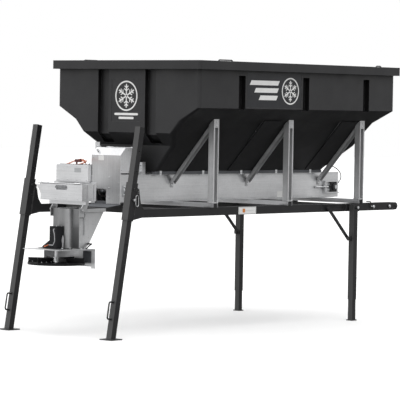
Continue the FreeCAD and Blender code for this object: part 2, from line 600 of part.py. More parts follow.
def gear_motor():
    """Worm gearbox and motor on the drive shaft's right end."""
    y = TROUGH_Y + 34
    case = box(DRIVE_X - 62, DRIVE_X + 62, y, y + 96, SHAFT_Z - 68, SHAFT_Z + 66)
    for e in (-62, 62):
        case = case.cut(box(DRIVE_X + e - 9, DRIVE_X + e + 9, y - 1, y + 97, SHAFT_Z + 52,
                            SHAFT_Z + 70))
    boss = rod((DRIVE_X, y + 96, SHAFT_Z), (DRIVE_X, y + 108, SHAFT_Z), 34)
    bore = rod((DRIVE_X, y - 1, SHAFT_Z), (DRIVE_X, y + 110, SHAFT_Z), SHAFT_R + 0.4)
    motor = rod((DRIVE_X, y + 50, SHAFT_Z + 66), (DRIVE_X, y + 50, SHAFT_Z + 176), 47)
    cap = rod((DRIVE_X, y + 50, SHAFT_Z + 176), (DRIVE_X, y + 50, SHAFT_Z + 188), 40)
    terminals = [rod((DRIVE_X + dx, y + 50, SHAFT_Z + 188), (DRIVE_X + dx, y + 50, SHAFT_Z + 202),
                     5) for dx in (-18, 18)]
    save("gear_motor", cut(join([case, boss, motor, cap] + terminals), [bore]))


def drive_frame():
    """Side plates and tie bars that carry the rear boxes behind the discharge."""
    right = box(GUARD_REAR + 2, TROUGH_REAR + 2.5, GUARD_Y - 4, GUARD_Y, 1060, 1120)
    left = box(GUARD_REAR + 2, GUARD_FRONT, -GUARD_Y, -GUARD_Y + 4, GUARD_BOTTOM, GUARD_TOP)
    far = box(GUARD_REAR + 2, GUARD_FRONT, GUARD_Y - 4, GUARD_Y, GUARD_BOTTOM, GUARD_TOP)
    back = box(GUARD_FRONT - 4, GUARD_FRONT, -GUARD_Y, GUARD_Y, GUARD_BOTTOM, GUARD_TOP + 17)
    riser = box(UPPER_FRONT, UPPER_FRONT + 4, -UPPER_Y - 14, UPPER_Y, GUARD_TOP + 8, 1215)
    shelf = box(UPPER_REAR, GUARD_FRONT, -UPPER_Y, UPPER_Y, UPPER_BOTTOM - 5, UPPER_BOTTOM)
    tie = box(TROUGH_REAR - 2.5, TROUGH_REAR + 2.5, TROUGH_Y, GUARD_Y, 1060, 1120)
    wing = plate_yz([(GUARD_Y, 1134), (GUARD_Y, 1046), (GUARD_Y + 54, 1134)], GUARD_REAR + 8,
                    GUARD_REAR + 12)
    ribs = [box(x, x + 5, -GUARD_Y - 6, -GUARD_Y, GUARD_BOTTOM + 4, GUARD_TOP - 4)
            for x in (GUARD_REAR + 48, GUARD_REAR + 118)]
    save("drive_frame", join([right, left, far, back, riser, shelf, tie, wing] + ribs))


def control_box():
    """The shallow closed box above the rear guard."""
    body = box(UPPER_REAR, UPPER_FRONT, -UPPER_Y, UPPER_Y, UPPER_BOTTOM, UPPER_TOP)
    body = body.makeFillet(4, [e for e in body.Edges if abs(e.Vertexes[0].X - e.Vertexes[1].X) > 1])
    gasket = box(UPPER_FRONT, UPPER_FRONT + 4, -UPPER_Y - 3, UPPER_Y, 1215.5, UPPER_TOP + 4)
    save("control_box", body)
    save("box_gasket", gasket)


def rear_guard():
    """The hinged pan behind the drive frame, with a finger slot."""
    x0, x1 = GUARD_REAR - 6, GUARD_REAR
    y = GUARD_Y - 1
    face = box(x0, x1 - 3, -y, y, GUARD_BOTTOM, GUARD_TOP - 2)
    edges = [box(x0, x1 + 1.4, -y, y, GUARD_BOTTOM, GUARD_BOTTOM + 3),
             box(x0, x1 + 1.4, -y, -y + 3, GUARD_BOTTOM, GUARD_TOP - 2),
             box(x0, x1 + 1.4, y - 3, y, GUARD_BOTTOM, GUARD_TOP - 2)]
    slot = join([box(x0 - 1, x1 + 2, -47, 47, 1100, 1136),
                 rod((x0 - 1, -47, 1118), (x1 + 2, -47, 1118), 18),
                 rod((x0 - 1, 47, 1118), (x1 + 2, 47, 1118), 18)])
    barrels = [rod((x0 + 2, a, GUARD_TOP + 4), (x0 + 2, a + 60, GUARD_TOP + 4), 7)
               for a in (-200, 140)]
    tabs = [box(x0, x0 + 4, a, a + 60, GUARD_TOP - 4, GUARD_TOP + 1) for a in (-200, 140)]
    pan = join([face] + edges + barrels + tabs)
    bore = rod((x0 + 2, -300, GUARD_TOP + 4), (x0 + 2, 300, GUARD_TOP + 4), 3.6)
    save("rear_guard", cut(pan, [slot, bore]))


def guard_hinge_rod():
    """The hinge rod of the rear guard: a bent bar in fixed eyes."""
    x, z = GUARD_REAR - 4, GUARD_TOP + 4
    bar = bent_rod([(x, -214, z), (x, 252, z), (x + 26, 252, z), (x + 26, 252, z - 20)], 8, 3.5)
    eyes = []
    for y in (-214, 206):
        eye = box(x - 4.6, GUARD_REAR + 6, y, y + 8, z - 3.6, z + 7)
        eyes.append(eye.cut(rod((x, y - 1, z), (x, y + 9, z), 3.5)))
    save("guard_hinge_rod", join([bar] + eyes))


def harness():
    """Connector on the control box and the two leads that run past the hood to the motor."""
    x, z = -1802, UPPER_TOP + 30
    shell = box(x - 9, x + 9, -74, -16, z - 11, z + 11)
    boot = rod((x, -84, z), (x, -74, z), 7)
    stem = rod((x, -30, UPPER_TOP), (x, -30, z - 11), 7)
    save("harness_plug", join([shell, boot, stem]))
    leads = []
    for i in range(2):
        y, dz = -106 - 8 * i, 7 * i
        leads.append(bent_rod([(x, -84, z - 3 + dz), (x + 2, y, z - 4 + dz),
                               (x + 46, y + 6, z - 8 + dz), (x + 52, 30, z - 44 + dz),
                               (x + 54, 152, z - 46 + dz), (x + 96, 184, z - 40 + dz),
                               (x + 240, 186, z + dz), (DRIVE_X - 110, 188, z - 2 + dz),
                               (DRIVE_X - 51, 226, z - 66 + dz)], 9, 2.6))
    save("harness_leads", *leads)


def front_cable():
    """A loop of cable from under the hopper round the trough's front end."""
    y = -TROUGH_Y + 6
    save("front_cable", bent_rod([(1040, y + 30, 1283), (1150, y, 1272), (1240, y, 1246),
                                  (1296, y, 1204), (1304, y, 1160), (1262, y, 1114),
                                  (TROUGH_FRONT + 0.5, y + 20, 1105)], 14, 4))


# ---- chute and spinner ----------------------------------------------------------------------

def chute():
    """A folded discharge chute: straight cheeks and a rear wall with a round channel."""
    t = 3.0
    side_line = [(CHUTE_REAR, CHUTE_TOP), (CHUTE_FRONT_TOP, CHUTE_TOP),
                 (CHUTE_FRONT_TOP, CHUTE_TOP - 26), (CHUTE_FRONT_LOW, CHUTE_BOTTOM + 28),
                 (CHUTE_FRONT_LOW - 40, CHUTE_BOTTOM), (CHUTE_REAR, CHUTE_BOTTOM)]
    cheeks = [plate_xz(side_line, min(s * CHUTE_Y, s * (CHUTE_Y - t)),
                       max(s * CHUTE_Y, s * (CHUTE_Y - t))) for s in (-1, 1)]
    back = box(CHUTE_REAR, CHUTE_REAR + t, -CHUTE_Y, CHUTE_Y, CHUTE_BOTTOM, CHUTE_TOP)
    bulge = rod((CHUTE_REAR + 2, 0, CHUTE_BOTTOM), (CHUTE_REAR + 2, 0, CHUTE_TOP), BULGE_R)
    hollow = rod((CHUTE_REAR + 2, 0, CHUTE_BOTTOM - 1), (CHUTE_REAR + 2, 0, CHUTE_TOP + 1),
                 BULGE_R - t)
    keep = box(CHUTE_REAR - BULGE_R, CHUTE_REAR + t, -BULGE_R, BULGE_R, CHUTE_BOTTOM, CHUTE_TOP)
    body = cut(join(cheeks + [back, bulge.common(keep)]), [hollow])
    front = plate_xz([(CHUTE_FRONT_TOP, CHUTE_TOP - 26), (CHUTE_FRONT_LOW, CHUTE_BOTTOM + 28),
                      (CHUTE_FRONT_LOW - t, CHUTE_BOTTOM + 28),
                      (CHUTE_FRONT_TOP - t, CHUTE_TOP - 26)], -CHUTE_Y, CHUTE_Y)
    y = CHUTE_Y + 10
    collar = box(CHUTE_REAR - 4, -1598, -y, y, CHUTE_TOP - 26, CHUTE_TOP)
    collar = collar.cut(box(CHUTE_REAR - 5, CHUTE_FRONT_TOP - 2, -CHUTE_Y, CHUTE_Y, 900, 1000))
    collar = collar.cut(box(CHUTE_REAR - 80, CHUTE_REAR, -y - 1, y + 1, 900, 1000))
    feet = [box(CHUTE_REAR - 4, CHUTE_FRONT_LOW - 40, min(s * CHUTE_Y, s * (CHUTE_Y + 26)),
                max(s * CHUTE_Y, s * (CHUTE_Y + 26)), PLATE_Z + PLATE_T, PLATE_Z + PLATE_T + 3)
            for s in (-1, 1)]
    ears = [box(PIVOT_X - 26, PIVOT_X + 26, min(s * (CHUTE_Y + 10), s * (CHUTE_Y + 16)),
                max(s * (CHUTE_Y + 10), s * (CHUTE_Y + 16)), CHUTE_TOP - 62, CHUTE_TOP + 10)
            for s in (-1, 1)]
    spacers = [box(PIVOT_X - 9, PIVOT_X + 26, min(s * CHUTE_Y, s * (CHUTE_Y + 10)),
                   max(s * CHUTE_Y, s * (CHUTE_Y + 10)), CHUTE_TOP - 62, CHUTE_TOP - 26)
               for s in (-1, 1)]
    whole = join([body, front, collar] + feet + ears + spacers)
    pins = rod((PIVOT_X, -260, PIVOT_Z), (PIVOT_X, 260, PIVOT_Z), 6.4)
    clear = [box(PIVOT_X - 400, PIVOT_X + 400, -CHUTE_Y + t, CHUTE_Y - t, 900, 990)]
    save("chute", cut(whole, [cut(pins, clear)]))


def chute_hanger():
    """Fixed cross bar and lugs with the pins on which the chute swings."""
    x0, x1, z = HANGER_X[0], HANGER_X[1], GUARD_BOTTOM
    bar = box(x0, x1, -190, 200, z - 30, z)
    floor = box(x1, GUARD_FRONT, -190, 200, z - SHEET, z)
    parts = [bar, floor]
    for s in (-1, 1):
        y0, y1 = sorted((s * (CHUTE_Y + 17.5), s * (CHUTE_Y + 24)))
        lug = plate_xz([(x0, z - 30), (x1 + 16, z - 30), (x1 + 16, 966), (PIVOT_X + 16, 932),
                        (PIVOT_X - 16, 932), (PIVOT_X - 16, 964)], y0, y1)
        pin = rod((PIVOT_X, s * (CHUTE_Y + 2), PIVOT_Z), (PIVOT_X, s * (CHUTE_Y + 34), PIVOT_Z),
                  6.3)
        head = rod((PIVOT_X, s * (CHUTE_Y + 30), PIVOT_Z), (PIVOT_X, s * (CHUTE_Y + 36), PIVOT_Z),
                   11)
        parts += [lug, pin, head]
    save("chute_hanger", join(parts))


def chute_lock():
    """The lock pin's lanyard and ring on the left cheek."""
    x, y = PIVOT_X + 40, -CHUTE_Y - 4
    ring = ring_link((x, y - 3, 905), 9, 10, 2.4)
    links = [ring_link((x + 3, y - 3, 905 - 34 - 25 * i), 4.4, 5, 1.7) for i in range(5)]
    keeper = rod((x, -CHUTE_Y, 924), (x, -CHUTE_Y - 14, 924), 6)
    save("chute_lock", join([ring, keeper]), *links)


def spinner_plate():
    """The flat plate over the spinner that the motor and the chute stand on."""
    x0, x1 = PLATE_X - PLATE_HALF, PLATE_X + PLATE_HALF
    plate = box(x0, x1, -PLATE_HALF, PLATE_HALF, PLATE_Z, PLATE_Z + PLATE_T)
    drop = box(CHUTE_REAR - 40, CHUTE_FRONT_LOW - 44, -CHUTE_Y + 30, CHUTE_Y - 30, 600, 700)
    shaft_hole = rod((SPIN_X, 0, 600), (SPIN_X, 0, 700), 14)
    save("spinner_plate", cut(plate, [drop, shaft_hole]))
    save("plate_brackets", motor_bracket(), chute_strut())


def motor_bracket():
    """The foot plate and gusset that hold the motor case."""
    x, z = SPIN_X - CASE_HALF, PLATE_Z + PLATE_T
    strip = box(SPIN_X - 60, SPIN_X + 56, -118, 132, z, z + 5)
    gusset = plate_yz([(CASE_HALF + 1, z + 5), (128, z + 5), (CASE_HALF + 1, z + 62)], x, x + 5)
    bracket = strip.fuse(gusset).cut(rod((SPIN_X, 0, 600), (SPIN_X, 0, 700), 14))
    return bracket.cut(box(CHUTE_REAR - BULGE_R, 0, -80, 80, 640, 700))


def spinner_motor():
    """The spinner motor under its square case, with the drive shaft stub."""
    z0 = PLATE_Z + PLATE_T + 5
    h = CASE_HALF
    case = box(SPIN_X - h, SPIN_X + h, -h, h, z0, z0 + CASE_H)
    case = case.makeFillet(5, [e for e in case.Edges if abs(e.Vertexes[0].Z - e.Vertexes[1].Z) > 1])
    inside = box(SPIN_X - h + 3, SPIN_X + h - 3, -h + 3, h - 3, z0 - 1, z0 + CASE_H - 3)
    save("motor_case", case.cut(inside))
    body = rod((SPIN_X, 0, z0), (SPIN_X, 0, z0 + CASE_H - 12), h - 5)
    nose = rod((SPIN_X, 0, z0 - 7), (SPIN_X, 0, z0), 13.5)
    save("spinner_motor", join([body, nose]))


def motor_cables():
    """Cable and leads of the spinner motor, held between the case and the plate."""
    x = SPIN_X - CASE_HALF - 7
    y = -CASE_HALF + 10
    z0 = PLATE_Z + PLATE_T
    cable = bent_rod([(SPIN_X - CASE_HALF, y + 10, z0 + 150), (x - 10, y + 10, z0 + 150),
                      (x - 14, y - 8, z0 + 112), (x - 12, y - 10, z0 + 60),
                      (x - 10, y + 10, z0 + 28), (x - 22, y + 42, z0 + 30)], 11, 3.5)
    leads = []
    for i in range(2):
        a = x - 6 * i
        leads.append(bent_rod([(a - 22, y + 44.4, z0 + 30), (a - 24, y + 66, z0 + 22),
                               (a - 16, y + 92, z0 + 12 + 3 * i),
                               (x + 2, y + 104 + 6 * i, z0 + 14 + 4 * i)], 9, 2.4))
    save("motor_leads", *leads)
    side = -CASE_HALF
    cx = SPIN_X + 20
    body = rod((cx, side - 9, z0 + 42), (cx, side - 9, z0 + 88), 8)
    boot = rod((cx, side - 9, z0 + 12), (cx, side - 9, z0 + 42), 6)
    top = rod((cx, side - 9, z0 + 88), (cx, side - 9, z0 + 100), 5)
    clip = box(cx - 5, cx + 5, side - 4, side, z0 + 55, z0 + 75)
    save("motor_cable", cable, join([body, boot, top, clip]))


def spinner():
    """The broadcast disc with its vanes, and the hub that clamps it to the shaft."""
    z = DISC_Z
    disc = rod((SPIN_X, 0, z), (SPIN_X, 0, z + DISC_T), SPIN_R)
    lip = rod((SPIN_X, 0, z - 9), (SPIN_X, 0, z), SPIN_R)
    lip = lip.cut(rod((SPIN_X, 0, z - 10), (SPIN_X, 0, z + 1), SPIN_R - 5))
    parts = [disc, lip]
    for i in range(6):
        vane = box(36, SPIN_R - 2, -2, 3, z + DISC_T, z + DISC_T + VANE_H)
        root = box(36, SPIN_R - 2, 3, 14, z + DISC_T, z + DISC_T + 4)
        vane = vane.fuse(root)
        vane.rotate(V(40, 0, 0), AZ, -9)
        vane.rotate(V(0, 0, 0), AZ, 60 * i + 12)
        parts.append(vane.translate(V(SPIN_X, 0, 0)))
    whole = join(parts)
    keep = rod((SPIN_X, 0, z - 20), (SPIN_X, 0, z + 80), SPIN_R)
    bore = rod((SPIN_X, 0, z - 20), (SPIN_X, 0, z + 80), 12)
    save("spinner_disc", whole.common(keep).cut(bore))
    cone = Part.makeCone(31, 21, 40, V(SPIN_X, 0, z + DISC_T))
    shaft = rod((SPIN_X, 0, z - 12), (SPIN_X, 0, PLATE_Z + 1), 12)
    nut = hex_bolt((SPIN_X, 0, z - 20), (0, 0, 1), 27, 12)
    save("spinner_hub", join([cone, shaft, nut]))


def spinner_shield():
    """Sheet walls under the plate that stop the spread on the right and towards the truck."""
    x1, y, z0, z1 = PLATE_X + PLATE_HALF, PLATE_HALF, SHIELD_LOW, PLATE_Z
    right = box(SHIELD_REAR, x1, SHIELD_Y - 3, SHIELD_Y, z0, z1)
    ledge = box(SHIELD_REAR, x1, y - 24, SHIELD_Y, z1 - 3, z1)
    front = box(x1 - 3, x1, -y, SHIELD_Y, z0 + 6, z1)
    window = box(x1 - 4, x1 + 1, -150, -76, 556, 630)
    corner = box(x1 - 3, x1, -y - 2, -y + 40, z0 - 8, z0 + 6)
    flange = box(x1 - 24, x1 - 3, -y, y - 3, z1 - 3, z1)
    save("spinner_shield", join([right, ledge, cut(front, [window]), corner, flange]))
    flap = box(x1 - 7, x1 - 3, -156, -70, 548, 636)
    knobs = [rod((x1 - 13, -113, z), (x1 - 7, -113, z), 6) for z in (564, 622)]
    save("shield_flap", join([flap] + knobs))


def chute_strut():
    """The black stay between the chute's left cheek and the plate."""
    y = -CHUTE_Y - 26
    low, high = V(-1842, y - 6, PLATE_Z + PLATE_T), V(-1774, y - 6, PLATE_Z + 46)
    line = [(low.x, low.z), (low.x + 14, low.z), (high.x + 8, high.z - 7), (high.x, high.z)]
    bar = plate_xz(line, y - 6, y)
    tab = box(-1782, -1766, -CHUTE_Y - 32, -CHUTE_Y, PLATE_Z + 36, PLATE_Z + 46)
    return join([bar, tab])


# ---- stand ----------------------------------------------------------------------------------

def stand_rails():
    """Two square rails and the cross tubes between them."""
    tubes = []
    z1, w = RAIL_TOP, RAIL_WALL
    for side in (-1, 1):
        y = side * RAIL_Y
        tube = box(RAIL_REAR, RAIL_FRONT, y - HALF, y + HALF, z1 - RAIL, z1)
        tubes.append(tube.cut(box(RAIL_REAR - 1, RAIL_FRONT + 1, y - HALF + w, y + HALF - w,
                                  z1 - RAIL + w, z1 - w)))
    for x in CROSS_TUBES:
        tube = box(x - 25, x + 25, -RAIL_Y + HALF, RAIL_Y - HALF, z1 - 50, z1)
        tubes.append(tube.cut(box(x - 21, x + 21, -600, 600, z1 - 46, z1 - 4)))
    save("stand_rails", *tubes)


def leg_sleeve(side):
    """One leaning square sleeve with its pin hole, upper bolt and gusset plates."""
    inner = LEG / 2 + PIN_GAP
    s = PIN_Z / LEAN_COS
    tube = square_tube(HALF, HALF - inner, SLEEVE_LOW / LEAN_COS, SLEEVE_HIGH / LEAN_COS)
    tube = tube.cut(rod((0, -60, s), (0, 60, s), PIN_R + 0.3))
    bolts = [hex_bolt((0, a * HALF, UPPER_BOLT_Z / LEAN_COS), (0, a, 0), 17, 7) for a in (-1, 1)]

    def front(z, inset=0.0):
        return leg_x(z) + (HALF - inset) / LEAN_COS
    gusset = [(front(1128, 2), 1128), (-1672, 1012), (-1640, 968), (-1640, 908),
              (front(890, 2), 890)]
    weld = [(front(900, 9), 900), (front(1120, 9), 1120), (front(1120), 1120), (front(900), 900)]
    parts = [lean(join([tube] + bolts), side)]
    for a in (-1, 1):
        for line, near, far in ((gusset, HALF + 1.2, HALF + 6.2), (weld, HALF - 0.05, HALF + 1.25)):
            y0, y1 = sorted((side * LEG_Y + a * near, side * LEG_Y + a * far))
            parts.append(plate_xz(line, y0, y1))
    x, y = front(1085), side * LEG_Y
    parts.append(box(x, x + 14, y - HALF - 1.2, y + HALF + 1.2, 1060, 1080))
    return join(parts)


def leg_sleeves():
    save("leg_sleeves", *[leg_sleeve(side) for side in (-1, 1)])


def rear_leg(side):
    """A leaning square leg with pin holes, a foot plate and a grab handle."""
    tube = square_tube(LEG / 2, LEG_WALL, -40, LEG_TOP_Z / LEAN_COS)
    holes = [rod((0, -60, z / LEAN_COS), (0, 60, z / LEAN_COS), PIN_R + 0.6)
             for z in LEG_HOLES + (PIN_Z, 1250.0, 1400.0)]
    tube = cut(tube, holes)
    h = LEG / 2
    grip = bent_rod([(-h + 2, 0, 150), (-h - 45, 0, 150), (-h - 45, 0, 278), (-h + 2, 0, 278)],
                    14, 6)
    leg = lean(join([tube, grip]), side)
    leg = leg.cut(box(-2200, -1700, side * LEG_Y - 50, side * LEG_Y + 50, -60, FOOT_T))
    x, y = LEG_FOOT_X + FOOT_T * LEAN_TAN, side * LEG_Y
    foot = box(x - FOOT_HALF, x + FOOT_HALF, y - FOOT_HALF, y + FOOT_HALF, 0, FOOT_T)
    for a in (-1, 1):
        for b in (-1, 1):
            foot = foot.cut(rod((x + a * 44, y + b * 44, -1), (x + a * 44, y + b * 44, 9), 6.5))
    save("rear_leg_left" if side < 0 else "rear_leg_right", join([leg, foot]))


def leg_pin(side):
    """The lock pin in the sleeve's outer wall, with its oval spring ring."""
    s = PIN_Z / LEAN_COS
    shank = rod((0, side * (LEG / 2 + 0.3), s), (0, side * (HALF + 16), s), PIN_R)
    head = rod((0, side * (HALF + 7), s), (0, side * (HALF + 16), s), 9)
    pin = lean(join([shank, head]), side)
    x, y = leg_x(PIN_Z), side * (LEG_Y + HALF + 12)
    ring = ring_link((x + 32, y, PIN_Z - 8), 15, 27, 2.6)
    bar = rod((x, y, PIN_Z), (x + 18, y, PIN_Z), 4)
    save("leg_pin_left" if side < 0 else "leg_pin_right", join([pin, ring, bar]))


def front_leg(side):
    """The folding leg's outer tube, with its head plate and strut lug."""
    y = side * FRONT_Y
    h = LEG / 2
    tube = square_tube(h, 2.9, FRONT_LOW, 905, FRONT_X, y)
    head = box(FRONT_X - h, FOLD_X + 28, y - h, y + h, 905, 963)
    head = head.cut(box(FRONT_X - h + 5, FOLD_X + 40, y - h + 5, y + h - 5, 904, 970))
    y0, y1 = sorted((side * (STRUT_Y + STRUT_T + 0.6), side * (STRUT_Y + 30)))
    lug = box(STRUT_LOW_X - 18, FRONT_X - h, y0, y1, STRUT_LOW_Z - 16, STRUT_LOW_Z + 16)
    screw = hex_bolt((FRONT_X + h, side * (FRONT_Y + 12), FRONT_HOLES[0]), (1, 0, 0), 17, 9)
    holes = [rod((FRONT_X, y - 60, z), (FRONT_X, y + 60, z), PIN_R + 0.3) for z in FRONT_HOLES]
    holes.append(rod((FOLD_X, y - 60, FOLD_Z), (FOLD_X, y + 60, FOLD_Z), 8.05))
    holes.append(rod((STRUT_LOW_X, y - 30, STRUT_LOW_Z), (STRUT_LOW_X, y + 30, STRUT_LOW_Z),
                     6.05))
    save("front_leg_left" if side < 0 else "front_leg_right",
         cut(join([tube, head, lug, screw]), holes))


def front_foot(side):
    """The folding leg's inner tube with its row of height holes and its base plate."""
    y = side * FRONT_Y
    tube = square_tube(INNER_LEG / 2, INNER_WALL, FOOT_T, 620, FRONT_X, y)
    holes = [rod((FRONT_X, y - 60, z), (FRONT_X, y + 60, z), PIN_R + 0.3)
             for z in FRONT_HOLES[1:] + (406.0, 459.0, 512.0)]
    plate = box(FRONT_X - FRONT_FOOT, FRONT_X + FRONT_FOOT, y - FRONT_FOOT, y + FRONT_FOOT, 0,
                FOOT_T)
    save("front_foot_left" if side < 0 else "front_foot_right", join([cut(tube, holes), plate]))


def fold_brackets():
    """Head brackets and slotted strut guides on the rails' outer faces."""
    parts = []
    for side in (-1, 1):
        y0 = side * (RAIL_Y + HALF)
        y_leg = side * (FRONT_Y - LEG / 2 - 0.8)
        plate = box(FRONT_X - 62, FRONT_X + 70, min(y0, y_leg), max(y0, y_leg), RAIL_TOP - RAIL,
                    RAIL_TOP)
        end = side * (FRONT_Y + LEG / 2 + 9)
        bolt = rod((FOLD_X, y_leg, FOLD_Z), (FOLD_X, end, FOLD_Z), 8)
        cap = hex_bolt((FOLD_X, side * (FRONT_Y + LEG / 2 + 0.8), FOLD_Z), (0, side, 0), 24, 10)
        parts.append(join([plate, bolt, cap]))
        y1 = y0 + side * 6
        guide = box(500, 800, min(y0, y1), max(y0, y1), RAIL_TOP - RAIL, RAIL_TOP)
        face = box(500, 800, min(y1, y1 + side * 22), max(y1, y1 + side * 22), RAIL_TOP - 5,
                   RAIL_TOP)
        a, b = GUIDE_SLOT
        slot = join([box(a, b, min(y0, y1) - 1, max(y0, y1) + 1, FOLD_Z - 8, FOLD_Z + 8),
                     rod((a, y0 - 20, FOLD_Z), (a, y0 + 20, FOLD_Z), 8),
                     rod((b, y0 - 20, FOLD_Z), (b, y0 + 20, FOLD_Z), 8)])
        parts.append(join([guide.cut(slot), face]))
    save("fold_brackets", *parts)


def leg_strut(side):
    """The flat strut between the folding leg and its slotted guide."""
    y0, y1 = sorted((side * STRUT_Y, side * (STRUT_Y + STRUT_T)))
    low, high = V(STRUT_LOW_X, 0, STRUT_LOW_Z), V(STRUT_UP_X, 0, STRUT_UP_Z)
    run = (high - low).normalize()
    across = V(-run.z, 0, run.x) * (STRUT_W / 2)
    bar = plate_xz([(p.x, p.z) for p in (low - across, high - across, high + across,
                                         low + across)], y0, y1)
    ends = [rod((p.x, y0, p.z), (p.x, y1, p.z), STRUT_W / 2) for p in (low, high)]
    head = hex_bolt((low.x, side * STRUT_Y, low.z), (0, -side, 0), 17, 6)
    pin = rod((low.x, side * STRUT_Y, low.z), (low.x, side * (STRUT_Y + 36), low.z), 6)
    nut = hex_bolt((low.x, side * (STRUT_Y + 30.4), low.z), (0, side, 0), 17, 6)
    knob = hex_bolt((high.x, side * (STRUT_Y + STRUT_T), high.z), (0, side, 0), 17, 8)
    save("leg_strut_left" if side < 0 else "leg_strut_right",
         join([bar] + ends + [head, pin, nut, knob]))


def rail_nose():
    """Twin plates that carry the roller at the front of each rail."""
    z0 = RAIL_TOP - RAIL
    outline = [(RAIL_FRONT, RAIL_TOP), (NOSE_END - 14, RAIL_TOP), (NOSE_END, RAIL_TOP - 14),
               (NOSE_END, z0 + 20), (NOSE_END - 30, z0), (RAIL_FRONT, z0)]
    noses = []
    for side in (-1, 1):
        y = side * RAIL_Y
        plates = []
        for s in (-1, 1):
            a = y + s * HALF
            b = y + s * (HALF - 8)
            plates.append(plate_xz(outline, min(a, b), max(a, b)))
        web = box(RAIL_FRONT, 1440, y - HALF + 8, y + HALF - 8, z0, z0 + 8)
        axle = rod((ROLLER_X, y - HALF - 9, FOLD_Z), (ROLLER_X, y + HALF + 9, FOLD_Z), 7)
        caps = [hex_bolt((ROLLER_X, y + s * HALF, FOLD_Z), (0, s, 0), 19, 9) for s in (-1, 1)]
        bolts = [rod((x, y - HALF - 7, FOLD_Z), (x, y + HALF + 7, FOLD_Z), 11) for x in NOSE_BOLTS]
        noses.append(join(plates + [web, axle] + caps + bolts))
    save("rail_noses", *noses)


def roller(side):
    y = side * RAIL_Y
    half = HALF - 8 - 0.6
    wheel = rod((ROLLER_X, y - half, FOLD_Z), (ROLLER_X, y + half, FOLD_Z), ROLLER_R)
    groove = rod((ROLLER_X, y - 7, FOLD_Z), (ROLLER_X, y + 7, FOLD_Z), ROLLER_R + 1)
    groove = groove.cut(rod((ROLLER_X, y - 8, FOLD_Z), (ROLLER_X, y + 8, FOLD_Z), ROLLER_R - 3))
    bore = rod((ROLLER_X, y - 40, FOLD_Z), (ROLLER_X, y + 40, FOLD_Z), 7.06)
    save("roller_left" if side < 0 else "roller_right", cut(wheel, [groove, bore]))


def rail_hooks():
    """Bent hooks on the rails' noses that hold a strap."""
    hooks = []
    for side in (-1, 1):
        face = RAIL_Y + HALF
        y = side * (face + HOOK_R + 1)
        bar = bent_rod([(HOOK_X - 30, y, RAIL_TOP + 13), (HOOK_X + 22, y, RAIL_TOP + 13),
                        (HOOK_X + 32, y, RAIL_TOP - 26)], 9, HOOK_R)
        y0, y1 = sorted((side * face, side * (face + 2 * HOOK_R)))
        pad = box(HOOK_X + 22, HOOK_X + 42, y0, y1, RAIL_TOP - 38, RAIL_TOP - 16)
        stud = hex_bolt((HOOK_X + 32, side * (face + 2 * HOOK_R), RAIL_TOP - 28), (0, side, 0), 13, 5)
        hooks.append(join([bar, pad, stud]))
    save("rail_hooks", *hooks)


def build():
    os.makedirs("parts", exist_ok=True)
    hopper_tub()
    inverted_vee()
    screen_ridge()
    trough()
    conveyor_deck()
    rubber_seals()
    conveyor_chain()
    sprocket_shaft("drive_shaft", DRIVE_X, -TROUGH_Y - 44, TROUGH_Y + 150)
    sprocket_shaft("idler_shaft", IDLER_X, -TROUGH_Y - 40, TROUGH_Y + 40)
    bearings()
    takeup_frames()
    feed_gate()
    gate_frame()
    drive_hood()
    gear_motor()
    drive_frame()
    control_box()
    rear_guard()
    guard_hinge_rod()
    harness()
    front_cable()
    chute()
    chute_hanger()
    chute_lock()
    spinner_plate()
    spinner_motor()
    motor_cables()
    spinner()
    spinner_shield()
    cross_channels()
    posts_and_braces()
    stand_rails()
    leg_sleeves()
    fold_brackets()
    rail_nose()
    rail_hooks()
    for side in (-1, 1):
        top_screen(side)
        rear_leg(side)
        leg_pin(side)
        front_leg(side)
        front_foot(side)
        leg_strut(side)
        roller(side)


build()
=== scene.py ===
import json
import math

import bmesh
import bpy
from mathutils import Matrix, Vector


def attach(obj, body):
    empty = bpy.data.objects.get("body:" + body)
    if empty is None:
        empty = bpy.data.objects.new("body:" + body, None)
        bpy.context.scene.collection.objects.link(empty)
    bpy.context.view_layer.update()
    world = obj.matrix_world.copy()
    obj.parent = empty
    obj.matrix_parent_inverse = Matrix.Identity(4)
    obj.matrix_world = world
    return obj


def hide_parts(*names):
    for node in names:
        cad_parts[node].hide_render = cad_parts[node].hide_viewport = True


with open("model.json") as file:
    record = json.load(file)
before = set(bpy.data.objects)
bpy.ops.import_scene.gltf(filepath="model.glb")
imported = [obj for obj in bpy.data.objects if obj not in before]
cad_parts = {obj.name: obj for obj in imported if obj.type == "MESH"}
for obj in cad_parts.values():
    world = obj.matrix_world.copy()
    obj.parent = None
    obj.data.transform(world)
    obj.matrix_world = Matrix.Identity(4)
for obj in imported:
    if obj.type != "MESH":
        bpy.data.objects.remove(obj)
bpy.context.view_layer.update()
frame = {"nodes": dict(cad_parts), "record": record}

# Looks of the hopper spreader on its stand. Positions repeat part.py's dimensions, which are in
# millimetres from the hopper's middle, and at() turns them into the row frame's metres.
SHIFT = 326.5
MM = 0.001
SIDES = ((-1, "left"), (1, "right"))

CAMERA_AT = (-14.7923, -13.0434, 1.7182)
CAMERA_TURN, CAMERA_TILT, CAMERA_ROLL = 41.4417, -2.0989, 0.9297
CAMERA_LENS = 220.18

